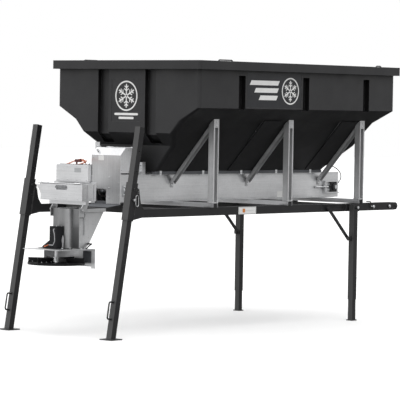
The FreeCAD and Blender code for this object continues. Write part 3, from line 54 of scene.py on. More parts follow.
REAR_WALL, BODY_Y = -1222.0, 753.0
POSTS, POST_OUT = (-857.0, 52.0, 981.0), 612.0
TROUGH_Y, TROUGH_TOP, TROUGH_BOTTOM = 150.0, 1215.0, 1006.0
DRIVE_X, IDLER_X, SHAFT_Z, CHAIN_R = -1375.0, 1180.0, 1089.0, 49.6
HOOD_REAR = -1451.0
BOX_REAR, BOX_Y, BOX_BOTTOM, BOX_TOP = -1821.0, 170.0, 1163.0, 1291.0
GUARD_REAR, GUARD_Y, GUARD_BOTTOM = -1936.0, 222.0, 1019.0
CHUTE_REAR, CHUTE_Y = -1877.0, 139.0
SPIN_X, DISC_TOP, PLATE_TOP = -1979.0, 552.0, 655.0
MOTOR_TOP = 826.0
RAIL_Y, RAIL_HALF, RAIL_TOP, RAIL_BOTTOM = 545.0, 31.75, 968.0, 904.5
RAIL_FRONT = 985.0
LEG_Y, LEG_HALF, LEG_FOOT_X, LEG_LEAN = 544.0, 25.4, -1940.0, math.atan2(285.0, 1585.0)
FRONT_X, FRONT_Y, FOLD_X, FOLD_Z = 875.0, 617.0, 889.0, 936.0
NOSE_BOLTS, HOOK_BOLT_X = (1191.0, 1413.0), 1156.0
GATE_X = -1260.0
FRONT_TUBE_HALF = 22.2

# the studio: a light roof, walls brighter on one side, and little light from below
BRIGHT_SIDE = (-0.75, 0.66, 0.0)
WALL_DIM, WALL_BRIGHT, FLOOR_DIM, ROOF_BRIGHT = 0.68, 0.92, 0.11, 2.0
KEY_STRENGTH, KEY_ANGLE = 0.8, 60.0


def at(x, y, z):
    return Vector(((x + SHIFT) * MM, y * MM, z * MM))


# ---- materials ------------------------------------------------------------------------------

class Maker:
    """A material's node tree, read in the row frame's metres."""

    def __init__(self, name):
        self.material = bpy.data.materials.new(name)
        self.material.use_nodes = True
        self.tree = self.material.node_tree
        self.tree.nodes.clear()
        self.place = self.add("ShaderNodeTexCoord").outputs["Object"]

    def add(self, kind, **settings):
        node = self.tree.nodes.new(kind)
        for key, value in settings.items():
            setattr(node, key, value)
        return node

    def put(self, socket, value):
        if isinstance(value, bpy.types.NodeSocket):
            self.tree.links.new(value, socket)
        else:
            socket.default_value = value

    def noise(self, size, detail=3.0, stretch=(1.0, 1.0, 1.0), shift=0.0):
        """Noise with features of about that size, in metres, longer along a stretched axis."""
        where = self.add("ShaderNodeMapping")
        self.put(where.inputs["Vector"], self.place)
        where.inputs["Scale"].default_value = [1.0 / s for s in stretch]
        where.inputs["Location"].default_value = (shift, shift * 0.7, shift * 1.3)
        node = self.add("ShaderNodeTexNoise")
        self.put(node.inputs["Vector"], where.outputs["Vector"])
        node.inputs["Scale"].default_value = 1.0 / size
        node.inputs["Detail"].default_value = detail
        return node.outputs[0]

    def ramp(self, value, low, high, to_low=0.0, to_high=1.0):
        node = self.add("ShaderNodeMapRange", clamp=True)
        self.put(node.inputs["Value"], value)
        node.inputs["From Min"].default_value = low
        node.inputs["From Max"].default_value = high
        node.inputs["To Min"].default_value = to_low
        node.inputs["To Max"].default_value = to_high
        return node.outputs["Result"]

    def math(self, operation, a, b):
        node = self.add("ShaderNodeMath", operation=operation)
        self.put(node.inputs[0], a)
        self.put(node.inputs[1], b)
        return node.outputs[0]

    def mix(self, factor, a, b):
        node = self.add("ShaderNodeMix", data_type="RGBA")
        self.put(node.inputs[0], factor)
        self.put(node.inputs[6], a if isinstance(a, bpy.types.NodeSocket) else (*a, 1.0))
        self.put(node.inputs[7], b if isinstance(b, bpy.types.NodeSocket) else (*b, 1.0))
        return node.outputs[2]

    def edges(self, width):
        """1 on sharp edges, 0 on flat faces."""
        bevel = self.add("ShaderNodeBevel", samples=6)
        bevel.inputs["Radius"].default_value = width
        flat = self.add("ShaderNodeNewGeometry")
        dot = self.add("ShaderNodeVectorMath", operation="DOT_PRODUCT")
        self.put(dot.inputs[0], bevel.outputs["Normal"])
        self.put(dot.inputs[1], flat.outputs["Normal"])
        return self.ramp(dot.outputs["Value"], 0.995, 0.86)

    def crevices(self, reach, start, full):
        """1 in deep corners and recesses, 0 in the open, by ambient occlusion; the mask for painted
        shade.
        """
        node = self.add("ShaderNodeAmbientOcclusion", samples=8)
        node.inputs["Distance"].default_value = reach
        return self.ramp(node.outputs["AO"], start, full)

    def rearward(self):
        """1 on faces that look to the rear, 0 on the others."""
        way = self.add("ShaderNodeVectorMath", operation="DOT_PRODUCT")
        self.put(way.inputs[0], self.add("ShaderNodeNewGeometry").outputs["Normal"])
        way.inputs[1].default_value = (-1.0, 0.0, 0.0)
        return self.ramp(way.outputs["Value"], 0.4, 0.9)


def scaled(color, k):
    return tuple(min(1.0, c * k) for c in color)


GRAIN = {"x": (60.0, 1.0, 1.0), "y": (1.0, 60.0, 1.0), "z": (1.0, 1.0, 60.0)}


def finish(name, color, metallic=0.0, rough=(0.4, 0.55), tint=0.15, patch=0.3, grain=None,
           peel=0.003, depth=0.0001, wear=None, wear_width=0.0015, crevice_shade=0.0, reach=0.1,
           corner=(0.85, 0.3), rear_light_and_shade=0.0, painted_rear_tone=None, sheen=0.5):
    """A surface with cloudy tone, uneven gloss, a fine relief, worn edges and painted shade in corners
    and recesses.

    The rear amount is how far the faces that look to the rear take another tone: painted light where
    that tone is lighter, as on the stand, and painted shade where it is darker, as on the chute and
    hood.
    """
    m = Maker(name)
    cloud = m.noise(patch, 4.0)
    speck = m.noise(0.012, 2.0, shift=3.0)
    tone = m.math("ADD", m.math("MULTIPLY", cloud, 0.7), m.math("MULTIPLY", speck, 0.3))
    shade = m.mix(m.ramp(tone, 0.3, 0.7), scaled(color, 1 - tint), scaled(color, 1 + tint))
    gloss = m.noise(patch * 0.4, 5.0, shift=7.0)
    height = m.noise(peel, 2.0, shift=11.0)
    if grain:
        lines = m.noise(0.0012, 3.0, stretch=GRAIN[grain], shift=5.0)
        bands = m.noise(0.012, 2.0, stretch=GRAIN[grain], shift=9.0)
        shade = m.mix(m.ramp(lines, 0.3, 0.7, 0.0, 0.45), shade, scaled(color, 1 - 2 * tint))
        shade = m.mix(m.ramp(bands, 0.35, 0.75, 0.0, 0.4), shade, scaled(color, 1 + tint))
        gloss = m.math("ADD", m.math("MULTIPLY", gloss, 0.5), m.math("MULTIPLY", lines, 0.5))
        height = m.math("ADD", m.math("MULTIPLY", height, 0.3), m.math("MULTIPLY", lines, 0.7))
    # painted shade: corners and recesses found by ambient occlusion darken towards a dark copy of the
    # colour
    if crevice_shade:
        painted_shade = m.math("MULTIPLY", m.crevices(reach, *corner), crevice_shade)
        shade = m.mix(painted_shade, shade, scaled(color, 0.12))
    # painted tone on faces that look to the rear: painted light when the tone is lighter, painted shade
    # when it is darker
    if rear_light_and_shade:
        shade = m.mix(m.math("MULTIPLY", m.rearward(), rear_light_and_shade), shade, painted_rear_tone or scaled(color, 0.1))
    dull = m.ramp(gloss, 0.3, 0.7, rough[0], rough[1])
    if wear:
        rubbed = m.math("MULTIPLY", m.edges(wear_width), m.ramp(m.noise(0.02, 4.0), 0.35, 0.62))
        shade = m.mix(rubbed, shade, wear)
    bump = m.add("ShaderNodeBump")
    bump.inputs["Strength"].default_value = 0.6
    bump.inputs["Distance"].default_value = depth
    m.put(bump.inputs["Height"], height)
    shader = m.add("ShaderNodeBsdfPrincipled")
    m.put(shader.inputs["Base Color"], shade)
    m.put(shader.inputs["Roughness"], dull)
    m.put(shader.inputs["Normal"], bump.outputs["Normal"])
    shader.inputs["Metallic"].default_value = metallic
    shader.inputs["Specular IOR Level"].default_value = sheen
    out = m.add("ShaderNodeOutputMaterial")
    m.put(out.inputs["Surface"], shader.outputs["BSDF"])
    return m.material


STEEL = (0.76, 0.765, 0.775)
# In the looks below, the darkening of corners and recesses is painted shade, and a changed tone on
# faces that look to the rear is painted light on the stand and painted shade on the chute and hood.
LOOKS = {
    # painted shade: the slots and recesses are darkened strongly and far in
    "hopper_plastic": finish("hopper_plastic", (0.016, 0.016, 0.0175), rough=(0.42, 0.56),
                             tint=0.18, patch=0.45, peel=0.0035, depth=0.00025,
                             wear=(0.075, 0.075, 0.08), wear_width=0.004, crevice_shade=0.97, reach=0.2,
                             corner=(0.93, 0.5)),
    "screen_black": finish("screen_black", (0.035, 0.035, 0.037), rough=(0.4, 0.6), peel=0.0015,
                           wear=(0.20, 0.19, 0.18)),
    # painted light: the faces that look to the rear are lighter; painted shade darkens the corners
    "stand_black": finish("stand_black", (0.009, 0.009, 0.010), rough=(0.34, 0.5), tint=0.2,
                          patch=0.2, peel=0.0012, depth=0.00008, wear=(0.16, 0.16, 0.16),
                          crevice_shade=0.4, reach=0.03, rear_light_and_shade=0.6, painted_rear_tone=(0.10, 0.10, 0.10),
                          sheen=0.35),
    "zinc": finish("zinc", (0.66, 0.67, 0.68), 1.0, (0.24, 0.42), tint=0.2, patch=0.012,
                   wear=(0.85, 0.85, 0.86), wear_width=0.001),
    "chain_steel": finish("chain_steel", (0.30, 0.285, 0.27), 1.0, (0.35, 0.6), tint=0.35,
                          patch=0.05, crevice_shade=0.6, reach=0.02, wear=(0.6, 0.6, 0.6)),
    "bearing_iron": finish("bearing_iron", (0.045, 0.045, 0.048), 0.0, (0.35, 0.55), peel=0.002,
                           depth=0.0004, wear=(0.3, 0.3, 0.3), crevice_shade=0.5, reach=0.02),
    "gearbox_paint": finish("gearbox_paint", (0.060, 0.062, 0.066), 0.0, (0.35, 0.5), peel=0.002,
                            depth=0.0003, wear=(0.25, 0.25, 0.25), crevice_shade=0.5, reach=0.03),
    "case_black": finish("case_black", (0.010, 0.0105, 0.012), 0.0, (0.30, 0.42), peel=0.002,
                         wear=(0.12, 0.12, 0.12), crevice_shade=0.4, reach=0.02, sheen=0.2),
    "disc_black": finish("disc_black", (0.004, 0.004, 0.005), 0.0, (0.3, 0.5), tint=0.3,
                         patch=0.08, wear=(0.09, 0.09, 0.09), crevice_shade=0.5, reach=0.04,
                         sheen=0.2),
    "hub_metal": finish("hub_metal", (0.70, 0.71, 0.72), 1.0, (0.22, 0.36), patch=0.02,
                        grain="z", wear=(0.85, 0.85, 0.85)),
    "flap_rubber": finish("flap_rubber", (0.11, 0.115, 0.125), 0.0, (0.6, 0.8), peel=0.001,
                          wear=(0.2, 0.2, 0.2), crevice_shade=0.4, reach=0.02),
    "plug_black": finish("plug_black", (0.10, 0.022, 0.018), 0.0, (0.35, 0.5),
                         wear=(0.25, 0.1, 0.08)),
    "lead_red": finish("lead_red", (0.58, 0.14, 0.045), 0.0, (0.35, 0.5), patch=0.03),
    "cable_grey": finish("cable_grey", (0.30, 0.30, 0.31), 0.0, (0.4, 0.55), patch=0.03),
    "cable_black": finish("cable_black", (0.030, 0.030, 0.031), 0.0, (0.35, 0.5), patch=0.03),
    "roller_black": finish("roller_black", (0.014, 0.014, 0.015), 0.0, (0.4, 0.6), patch=0.02,
                           wear=(0.15, 0.15, 0.15), crevice_shade=0.4, reach=0.02, sheen=0.25),
}
for axis in "xyz":
    LOOKS["stainless_" + axis] = finish("stainless_" + axis, STEEL, 1.0, (0.32, 0.46), tint=0.14,
                                        patch=0.22, grain=axis, depth=0.00003,
                                        wear=(0.80, 0.80, 0.81), crevice_shade=0.45, reach=0.03)
# a darker copy of the steel for the posts: painted shade
LOOKS["stainless_post"] = finish("stainless_post", scaled(STEEL, 0.78), 0.5, (0.3, 0.46),
                                 tint=0.2, patch=0.16, grain="z", depth=0.00003,
                                 wear=(0.80, 0.80, 0.81), crevice_shade=0.1, reach=0.02)
# a darker copy of the steel for the braces: painted shade, with more painted shade in corners
LOOKS["stainless_brace"] = finish("stainless_brace", scaled(STEEL, 0.72), 0.35, (0.34, 0.5),
                                  tint=0.2, patch=0.1, depth=0.00003,
                                  wear=(0.80, 0.80, 0.81), crevice_shade=0.7, reach=0.03)
# a darker copy of the steel for the chute: painted shade, reaching far into recesses and darkening the
# faces that look to the rear
LOOKS["stainless_chute"] = finish("stainless_chute", scaled(STEEL, 0.92), 0.9, (0.34, 0.5),
                                  tint=0.16, patch=0.15, grain="z", depth=0.00003,
                                  wear=(0.80, 0.80, 0.81), crevice_shade=0.8, reach=0.3, rear_light_and_shade=0.6)
# a brighter copy of the steel for the hood: painted light, with painted shade on the faces that look to
# the rear
LOOKS["stainless_hood"] = finish("stainless_hood", scaled(STEEL, 1.1), 1.0, (0.32, 0.46), tint=0.14,
                                 patch=0.22, grain="z", depth=0.00003,
                                 wear=(0.80, 0.80, 0.81), crevice_shade=0.45, reach=0.03, rear_light_and_shade=0.28)
# a brighter copy of the steel for the shield: painted light
LOOKS["stainless_shield"] = finish("stainless_shield", scaled(STEEL, 1.1), 0.5, (0.32, 0.46), tint=0.16,
                                   patch=0.1, depth=0.00003, wear=(0.80, 0.80, 0.81),
                                   crevice_shade=0.2, reach=0.02)
WHITE_VINYL = finish("white_vinyl", (0.80, 0.80, 0.79), 0.0, (0.3, 0.42), tint=0.05, patch=0.05)
GREY_VINYL = finish("grey_vinyl", (0.42, 0.43, 0.44), 0.0, (0.35, 0.45), tint=0.06, patch=0.05)
DARK_VINYL = finish("dark_vinyl", (0.011, 0.012, 0.015), 0.0, (0.4, 0.5), tint=0.2, patch=0.1)
AMBER_VINYL = finish("amber_vinyl", (0.62, 0.20, 0.03), 0.0, (0.35, 0.45), tint=0.08, patch=0.05)

# the sheets whose grain doesn't run upright, and the parts with a darker copy of the steel as painted
# shade (posts, braces, chute) or a brighter copy as painted light (hood, shield)
SHEET_GRAIN = {"trough": "x", "rubber_seals": "x", "conveyor_deck": "x", "inverted_vee": "x",
               "cross_channels": "y", "control_box": "y", "rear_guard": "y", "drive_frame": "y",
               "chute_hanger": "y", "guard_hinge_rod": "y", "spinner_plate": "x",
               "takeup_frames": "x", "gate_frame": "y", "side_posts_left": "post",
               "side_posts_right": "post", "post_braces": "brace", "spinner_shield": "shield",
               "chute": "chute", "drive_hood": "hood"}
SLOT_OF = {row["node"]: row["material_slot"] for row in frame["record"]["subparts"]}

# edge rounding of the CAD nodes, in millimetres; the rest keep their own shading
ROUND = {"hopper_tub": 5.0, "stand_rails": 3.0, "rear_leg_left": 2.5, "rear_leg_right": 2.5,
         "front_leg_left": 2.2, "front_leg_right": 2.2, "front_foot_left": 2.0,
         "front_foot_right": 2.0, "leg_sleeves": 2.2, "rail_noses": 1.2, "rail_hooks": 1.0,
         "fold_brackets": 1.2, "leg_strut_left": 1.0, "leg_strut_right": 1.0, "trough": 0.9,
         "drive_hood": 1.0, "drive_frame": 0.8, "control_box": 1.2, "rear_guard": 0.8,
         "gate_frame": 0.8, "chute": 0.9, "chute_hanger": 0.8, "spinner_plate": 0.8,
         "spinner_shield": 0.8, "side_posts_left": 1.4, "side_posts_right": 1.4,
         "post_braces": 1.0, "cross_channels": 1.0, "takeup_frames": 0.8, "rubber_seals": 0.8,
         "inverted_vee": 1.0, "conveyor_deck": 0.8, "feed_gate": 0.6, "gear_motor": 1.6,
         "drive_bearings": 1.2, "idler_bearings": 1.2, "motor_case": 1.0, "plate_brackets": 0.8,
         "spinner_disc": 0.8, "spinner_hub": 0.8, "shield_flap": 0.6, "harness_plug": 1.0,
         "screen_ridge": 1.0}


def soften(obj, width):
    """Rounds a CAD node's edges with modifiers and evens its shading."""
    obj.data.polygons.foreach_set("use_smooth", [True] * len(obj.data.polygons))
    weld = obj.modifiers.new("weld", "WELD")
    weld.merge_threshold = 0.00001
    flat = obj.modifiers.new("flat", "DECIMATE")
    flat.decimate_type = "DISSOLVE"
    flat.angle_limit = math.radians(0.6)
    bevel = obj.modifiers.new("round", "BEVEL")
    bevel.width = width * MM
    bevel.segments = 2
    bevel.limit_method = "ANGLE"
    bevel.angle_limit = math.radians(38)
    bevel.miter_outer = "MITER_ARC"
    even = obj.modifiers.new("even", "WEIGHTED_NORMAL")
    even.keep_sharp = True
    even.weight = 80


for name, obj in frame["nodes"].items():
    slot = SLOT_OF[name]
    if slot == "stainless":
        slot = "stainless_" + SHEET_GRAIN.get(name, "z")
    for spot in obj.material_slots:
        spot.material = LOOKS[slot]
    if name in ROUND:
        soften(obj, ROUND[name])


# ---- pieces ---------------------------------------------------------------------------------

def piece(name, bm, body, look, smooth=True):
    """Makes a mesh in the row frame's metres into a piece that rides on a body."""
    bmesh.ops.recalc_face_normals(bm, faces=bm.faces)
    mesh = bpy.data.meshes.new(name)
    bm.to_mesh(mesh)
    bm.free()
    mesh.polygons.foreach_set("use_smooth", [smooth] * len(mesh.polygons))
    mesh.materials.append(look)
    obj = bpy.data.objects.new(name, mesh)
    bpy.context.scene.collection.objects.link(obj)
    even = obj.modifiers.new("even", "WEIGHTED_NORMAL")
    even.keep_sharp = True
    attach(obj, body)
    return obj


def stack(bm, centre, axis, rings, sides=24, turn=0.0):
    """A closed turned shape: rings of (height, radius) in millimetres along the axis."""
    axis = Vector(axis).normalized()
    u = axis.orthogonal().normalized() if abs(axis.z) < 0.9 else Vector((1, 0, 0))
    v = axis.cross(u)
    loops = []
    for height, radius in rings:
        loop = []
        for i in range(sides):
            a = 2 * math.pi * i / sides + turn
            spot = centre + (axis * height + (u * math.cos(a) + v * math.sin(a)) * radius) * MM
            loop.append(bm.verts.new(spot))
        loops.append(loop)
    for low, high in zip(loops, loops[1:]):
        for i in range(sides):
            j = (i + 1) % sides
            bm.faces.new((low[i], low[j], high[j], high[i]))
    bm.faces.new(loops[0][::-1])
    bm.faces.new(loops[-1])


def bolt(bm, x, y, z, axis, across=13.0, head=6.0, washer=True):
    """A hex head with a chamfered crown on a washer."""
    centre, base = at(x, y, z), 0.0
    r = across / math.sqrt(3)
    if washer:
        stack(bm, centre, axis, [(-0.4, r * 1.28), (1.1, r * 1.28), (1.5, r * 1.2)])
        base = 1.5
    rings = [(base - 0.4, r), (base + head * 0.8, r), (base + head, r * 0.84)]
    stack(bm, centre, axis, rings, 6, 0.26)


def screw(bm, x, y, z, axis, r=5.0):
    """A low domed screw or rivet head."""
    rings = [(-0.4, r), (r * 0.25, r * 0.96), (r * 0.42, r * 0.75), (r * 0.5, r * 0.35)]
    stack(bm, at(x, y, z), axis, rings, 16)


def bead(bm, points, r=3.2, pitch=4.0):
    """A rippled weld bead along a line of points, in millimetres from the hopper's middle."""
    spots = [at(*p) for p in points]
    for start, end in zip(spots, spots[1:]):
        run = end - start
        if run.length < 1e-5:
            continue
        count = max(4, int(run.length / MM / pitch) * 3)
        along = run.normalized()
        u = along.orthogonal().normalized()
        v = along.cross(u)
        rings = []
        for i in range(count + 1):
            swell = 0.82 + 0.18 * math.cos(2 * math.pi * i / 3)
            centre = start + run * (i / count)
            rings.append([bm.verts.new(centre + (u * math.cos(a) + v * math.sin(a)) * r * swell * MM)
                          for a in [math.pi * k / 4 for k in range(8)]])
        for low, high in zip(rings, rings[1:]):
            for k in range(8):
                bm.faces.new((low[k], low[(k + 1) % 8], high[(k + 1) % 8], high[k]))
        bm.faces.new(rings[0][::-1])
        bm.faces.new(rings[-1])


def slab(bm, outline, place, thick):
    """A flat plate: an outline in millimetres, set on a surface by place(u, v, height)."""
    low = [bm.verts.new(place(u, v, -0.05)) for u, v in outline]
    high = [bm.verts.new(place(u, v, thick)) for u, v in outline]
    bm.faces.new(low[::-1])
    bm.faces.new(high)
    n = len(outline)
    for i in range(n):
        bm.faces.new((low[i], low[(i + 1) % n], high[(i + 1) % n], high[i]))


def round_rect(cu, cv, w, h, r):
    """The outline of a rectangle with rounded corners."""
    points = []
    for qu, qv, first in ((1, 1, 0), (-1, 1, 90), (-1, -1, 180), (1, -1, 270)):
        for step in range(5):
            a = math.radians(first + 22.5 * step)
            points.append((cu + qu * (w / 2 - r) + r * math.cos(a),
                           cv + qv * (h / 2 - r) + r * math.sin(a)))
    return points


def arm(cu, cv, angle, start, end, width):
    """A straight bar that points away from a centre."""
    c, s = math.cos(angle), math.sin(angle)
    return [(cu + c * d - s * w, cv + s * d + c * w)
            for d, w in ((start, -width / 2), (end, -width / 2), (end, width / 2),
                         (start, width / 2))]


def snowflake(bm, place, cu, cv, size, thick):
    """Six branched arms inside a ring."""
    for i in range(6):
        a = math.radians(60 * i + 30)
        slab(bm, arm(cu, cv, a, size * 0.06, size * 0.78, size * 0.09), place, thick)
        for reach, length in ((0.34, 0.24), (0.54, 0.20)):
            u, v = cu + math.cos(a) * size * reach, cv + math.sin(a) * size * reach
            for turn in (-1, 1):
                slab(bm, arm(u, v, a + turn * math.radians(55), 0, size * length, size * 0.07),
                     place, thick - 0.1)
    steps = 48
    rings = [[bm.verts.new(place(cu + r * math.cos(2 * math.pi * k / steps),
                                 cv + r * math.sin(2 * math.pi * k / steps), h))
              for k in range(steps)]
             for r, h in ((size * 0.9, -0.05), (size * 0.9, thick), (size, thick), (size, -0.05))]
    for low, high in zip(rings, rings[1:] + rings[:1]):
        for k in range(steps):
            bm.faces.new((low[k], low[(k + 1) % steps], high[(k + 1) % steps], high[k]))


def emblems():
    """Generic winter marks on dark panels in the hopper's three recessed pads."""
    def rear(u, v, h):
        return at(REAR_WALL + 2.5 - h, -u, v)
    bm = bmesh.new()
    slab(bm, round_rect(-10, 1788, 304, 320, 6), lambda u, v, h: rear(u, v, h - 0.5), 0.5)
    for side in (-1, 1):
        slab(bm, round_rect(-334, 1882, 660, 268, 6),
             lambda u, v, h, side=side: at(u, side * (BODY_Y - 2 + h), v), 0.5)
    piece("emblem_panels", bm, "frame", DARK_VINYL, smooth=False)
    bm = bmesh.new()
    snowflake(bm, rear, -10, 1822, 118, 0.9)
    for width, z in ((250, 1680), (160, 1650)):
        slab(bm, round_rect(-10, z, width, 18, 7), rear, 0.8)
    piece("emblem_rear", bm, "frame", WHITE_VINYL, smooth=False)
    for side, label in SIDES:
        bm = bmesh.new()

        def flank(u, v, h, side=side):
            return at(u, side * (BODY_Y - 1.5 + h), v)
        snowflake(bm, flank, -138, 1880, 106, 0.9)
        for k, x0 in enumerate((-635, -580, -525)):
            z, x1, lean = 1940 - 58 * k, -292 - 10 * k, 20
            slab(bm, [(x0, z - 18), (x1, z - 18), (x1 + lean, z + 18), (x0 + lean, z + 18)],
                 flank, 0.8)
        piece("emblem_" + label, bm, "frame", WHITE_VINYL, smooth=False)


def labels():
    """Plain labels without words."""
    bm = bmesh.new()
    y = RAIL_Y + RAIL_HALF

    def rail(u, v, h):
        return at(u, -(y + h), v)
    slab(bm, round_rect(-434, 936, 212, 58, 4), rail, 0.5)
    piece("rail_label", bm, "frame", WHITE_VINYL, smooth=False)
    bm = bmesh.new()
    for u, v, w, h in ((-434, 961, 196, 2.4), (-434, 911, 196, 2.4), (-531, 936, 2.4, 47),
                       (-337, 936, 2.4, 47), (-434, 936, 150, 1.6)):
        slab(bm, round_rect(u, v, w, h, 0.7), lambda a, b, c: rail(a, b, c + 0.55), 0.2)
    piece("rail_label_lines", bm, "frame", GREY_VINYL, smooth=False)
    bm = bmesh.new()
    slab(bm, round_rect(-476, 936, 30, 30, 5), lambda a, b, c: rail(a, b, c + 0.55), 0.25)
    piece("rail_label_patch", bm, "frame", AMBER_VINYL, smooth=False)
    bm = bmesh.new()
    slab(bm, round_rect(483, 1037, 74, 50, 3), lambda u, v, h: at(u, -(TROUGH_Y + h), v), 0.4)
    piece("trough_label", bm, "frame", WHITE_VINYL, smooth=False)
    bm = bmesh.new()
    slab(bm, round_rect(-50, 1340, 58, 38, 3), lambda u, v, h: at(HOOD_REAR - h, -u, v), 0.4)
    piece("hood_label", bm, "drive_hood", WHITE_VINYL, smooth=False)
    bm = bmesh.new()
    slab(bm, round_rect(60, 1250, 70, 34, 3), lambda u, v, h: at(BOX_REAR - h, -u, v), 0.4)
    piece("box_label", bm, "frame", GREY_VINYL, smooth=False)


def frame_fasteners():
    bm = bmesh.new()
    for side in (-1, 1):
        for x in POSTS:
            for z in (1600, 1632):
                screw(bm, x, side * POST_OUT, z, (0, side, 0), 7)
            bolt(bm, x, side * (TROUGH_Y + 4), 1162, (0, side, 0), 13, 5)
            bolt(bm, x, side * (TROUGH_Y + 4), 1124, (0, side, 0), 13, 5)
        for i in range(9):
            x = -1040 + 240 * i
            if min(abs(x - p) for p in POSTS) > 60:
                bolt(bm, x, side * (TROUGH_Y + 28), TROUGH_TOP - 3, (0, 0, -1), 13, 6)
                bolt(bm, x, side * (TROUGH_Y + 24), TROUGH_BOTTOM, (0, 0, 1), 13, 6)
        for z in (1240, 1290):
            bolt(bm, GATE_X, side * (TROUGH_Y + 38), z, (-1, 0, 0), 11, 5)
        bolt(bm, FOLD_X, side * (FRONT_Y + LEG_HALF + 10.6), FOLD_Z, (0, side, 0), 22, 5, False)
    for z in (1340, 1425):
        bolt(bm, GATE_X, TROUGH_Y + 124, z, (-1, 0, 0), 11, 5)
    piece("frame_bolts", bm, "frame", LOOKS["zinc"], smooth=False)
    bm = bmesh.new()
    for y in (-150, -50, 50, 150):
        for z in (BOX_BOTTOM + 12, BOX_TOP - 12):
            screw(bm, BOX_REAR, y, z, (-1, 0, 0), 4.5)
    for x in (-1812, -1793):
        for side in (-1, 1):
            screw(bm, x, side * BOX_Y, BOX_BOTTOM + 20, (0, side, 0), 3.2)
            screw(bm, x, side * BOX_Y, BOX_TOP - 20, (0, side, 0), 3.2)
    for x in (-1900, -1840, -1800):
        for z in (1040, 1122):
            screw(bm, x, -GUARD_Y - 1, z, (0, -1, 0), 4.5)
            screw(bm, x, GUARD_Y + 1, z, (0, 1, 0), 4.5)
    piece("box_screws", bm, "frame", LOOKS["zinc"], smooth=False)
    bm = bmesh.new()
    for side in (-1, 1):
        for x in NOSE_BOLTS:
            for s in (-1, 1):
                bolt(bm, x, side * RAIL_Y + s * (RAIL_HALF + 7), FOLD_Z, (0, s, 0), 19, 6)
        bolt(bm, HOOK_BOLT_X, side * (RAIL_Y + RAIL_HALF + 14), RAIL_TOP - 28, (0, side, 0),
             11, 0.5, False)
    piece("stand_bolts", bm, "frame", LOOKS["zinc"], smooth=False)


def moving_fasteners():
    bm = bmesh.new()
    y = TROUGH_Y + 4
    for side in (-1, 1):
        for x, z in ((-1437, 1250), (-1437, 1330), (-1360, 1240), (-1290, 1240), (-1360, 1404),
                     (-1290, 1300)):
            screw(bm, x, side * y, z, (0, side, 0), 5)
    for side in (-1, 1):
        for z in (1050, 1150, 1260, 1340):
            screw(bm, HOOD_REAR, side * 138, z, (-1, 0, 0), 5)
    piece("hood_screws", bm, "drive_hood", LOOKS["zinc"], smooth=False)
    bm = bmesh.new()
    for side in (-1, 1):
        for z in (700, 760, 820, 880):
            screw(bm, CHUTE_REAR + 14, side * CHUTE_Y, z, (0, side, 0), 5)
        for x, z in ((-1775, 700), (-1752, 740), (-1700, 840)):
            screw(bm, x - 22, side * CHUTE_Y, z, (0, side, 0), 5)
        for x in (-1870, -1826):
            bolt(bm, x, side * (CHUTE_Y + 16), PLATE_TOP + 3, (0, 0, 1), 11, 5)
    for x in (-2020, -1938):
        for yy in (-104, 110):
            bolt(bm, x, yy, PLATE_TOP + 5, (0, 0, 1), 11, 5)
    for dx in (-28, 28):
        for dy in (-28, 28):
            screw(bm, SPIN_X + dx, dy, MOTOR_TOP, (0, 0, 1), 3.5)
    piece("chute_screws", bm, "chute", LOOKS["zinc"], smooth=False)
    bm = bmesh.new()
    for i in range(6):
        turn = math.radians(60 * i + 12)
        for r in (70, 125, 180):
            along = Vector((r - 40, 8.5, 0))
            along.rotate(Matrix.Rotation(math.radians(-9), 3, "Z"))
            spot = Vector((40 + along.x, along.y, 0))
            spot.rotate(Matrix.Rotation(turn, 3, "Z"))
            bolt(bm, SPIN_X + spot.x, spot.y, DISC_TOP + 4, (0, 0, 1), 8, 4, False)
    piece("disc_bolts", bm, "spinner", LOOKS["zinc"], smooth=False)
    bm = bmesh.new()
    for y in (-170, -60, 60, 170):
        screw(bm, GUARD_REAR, y, GUARD_BOTTOM + 14, (-1, 0, 0), 4.5)
    piece("guard_screws", bm, "rear_guard", LOOKS["zinc"], smooth=False)


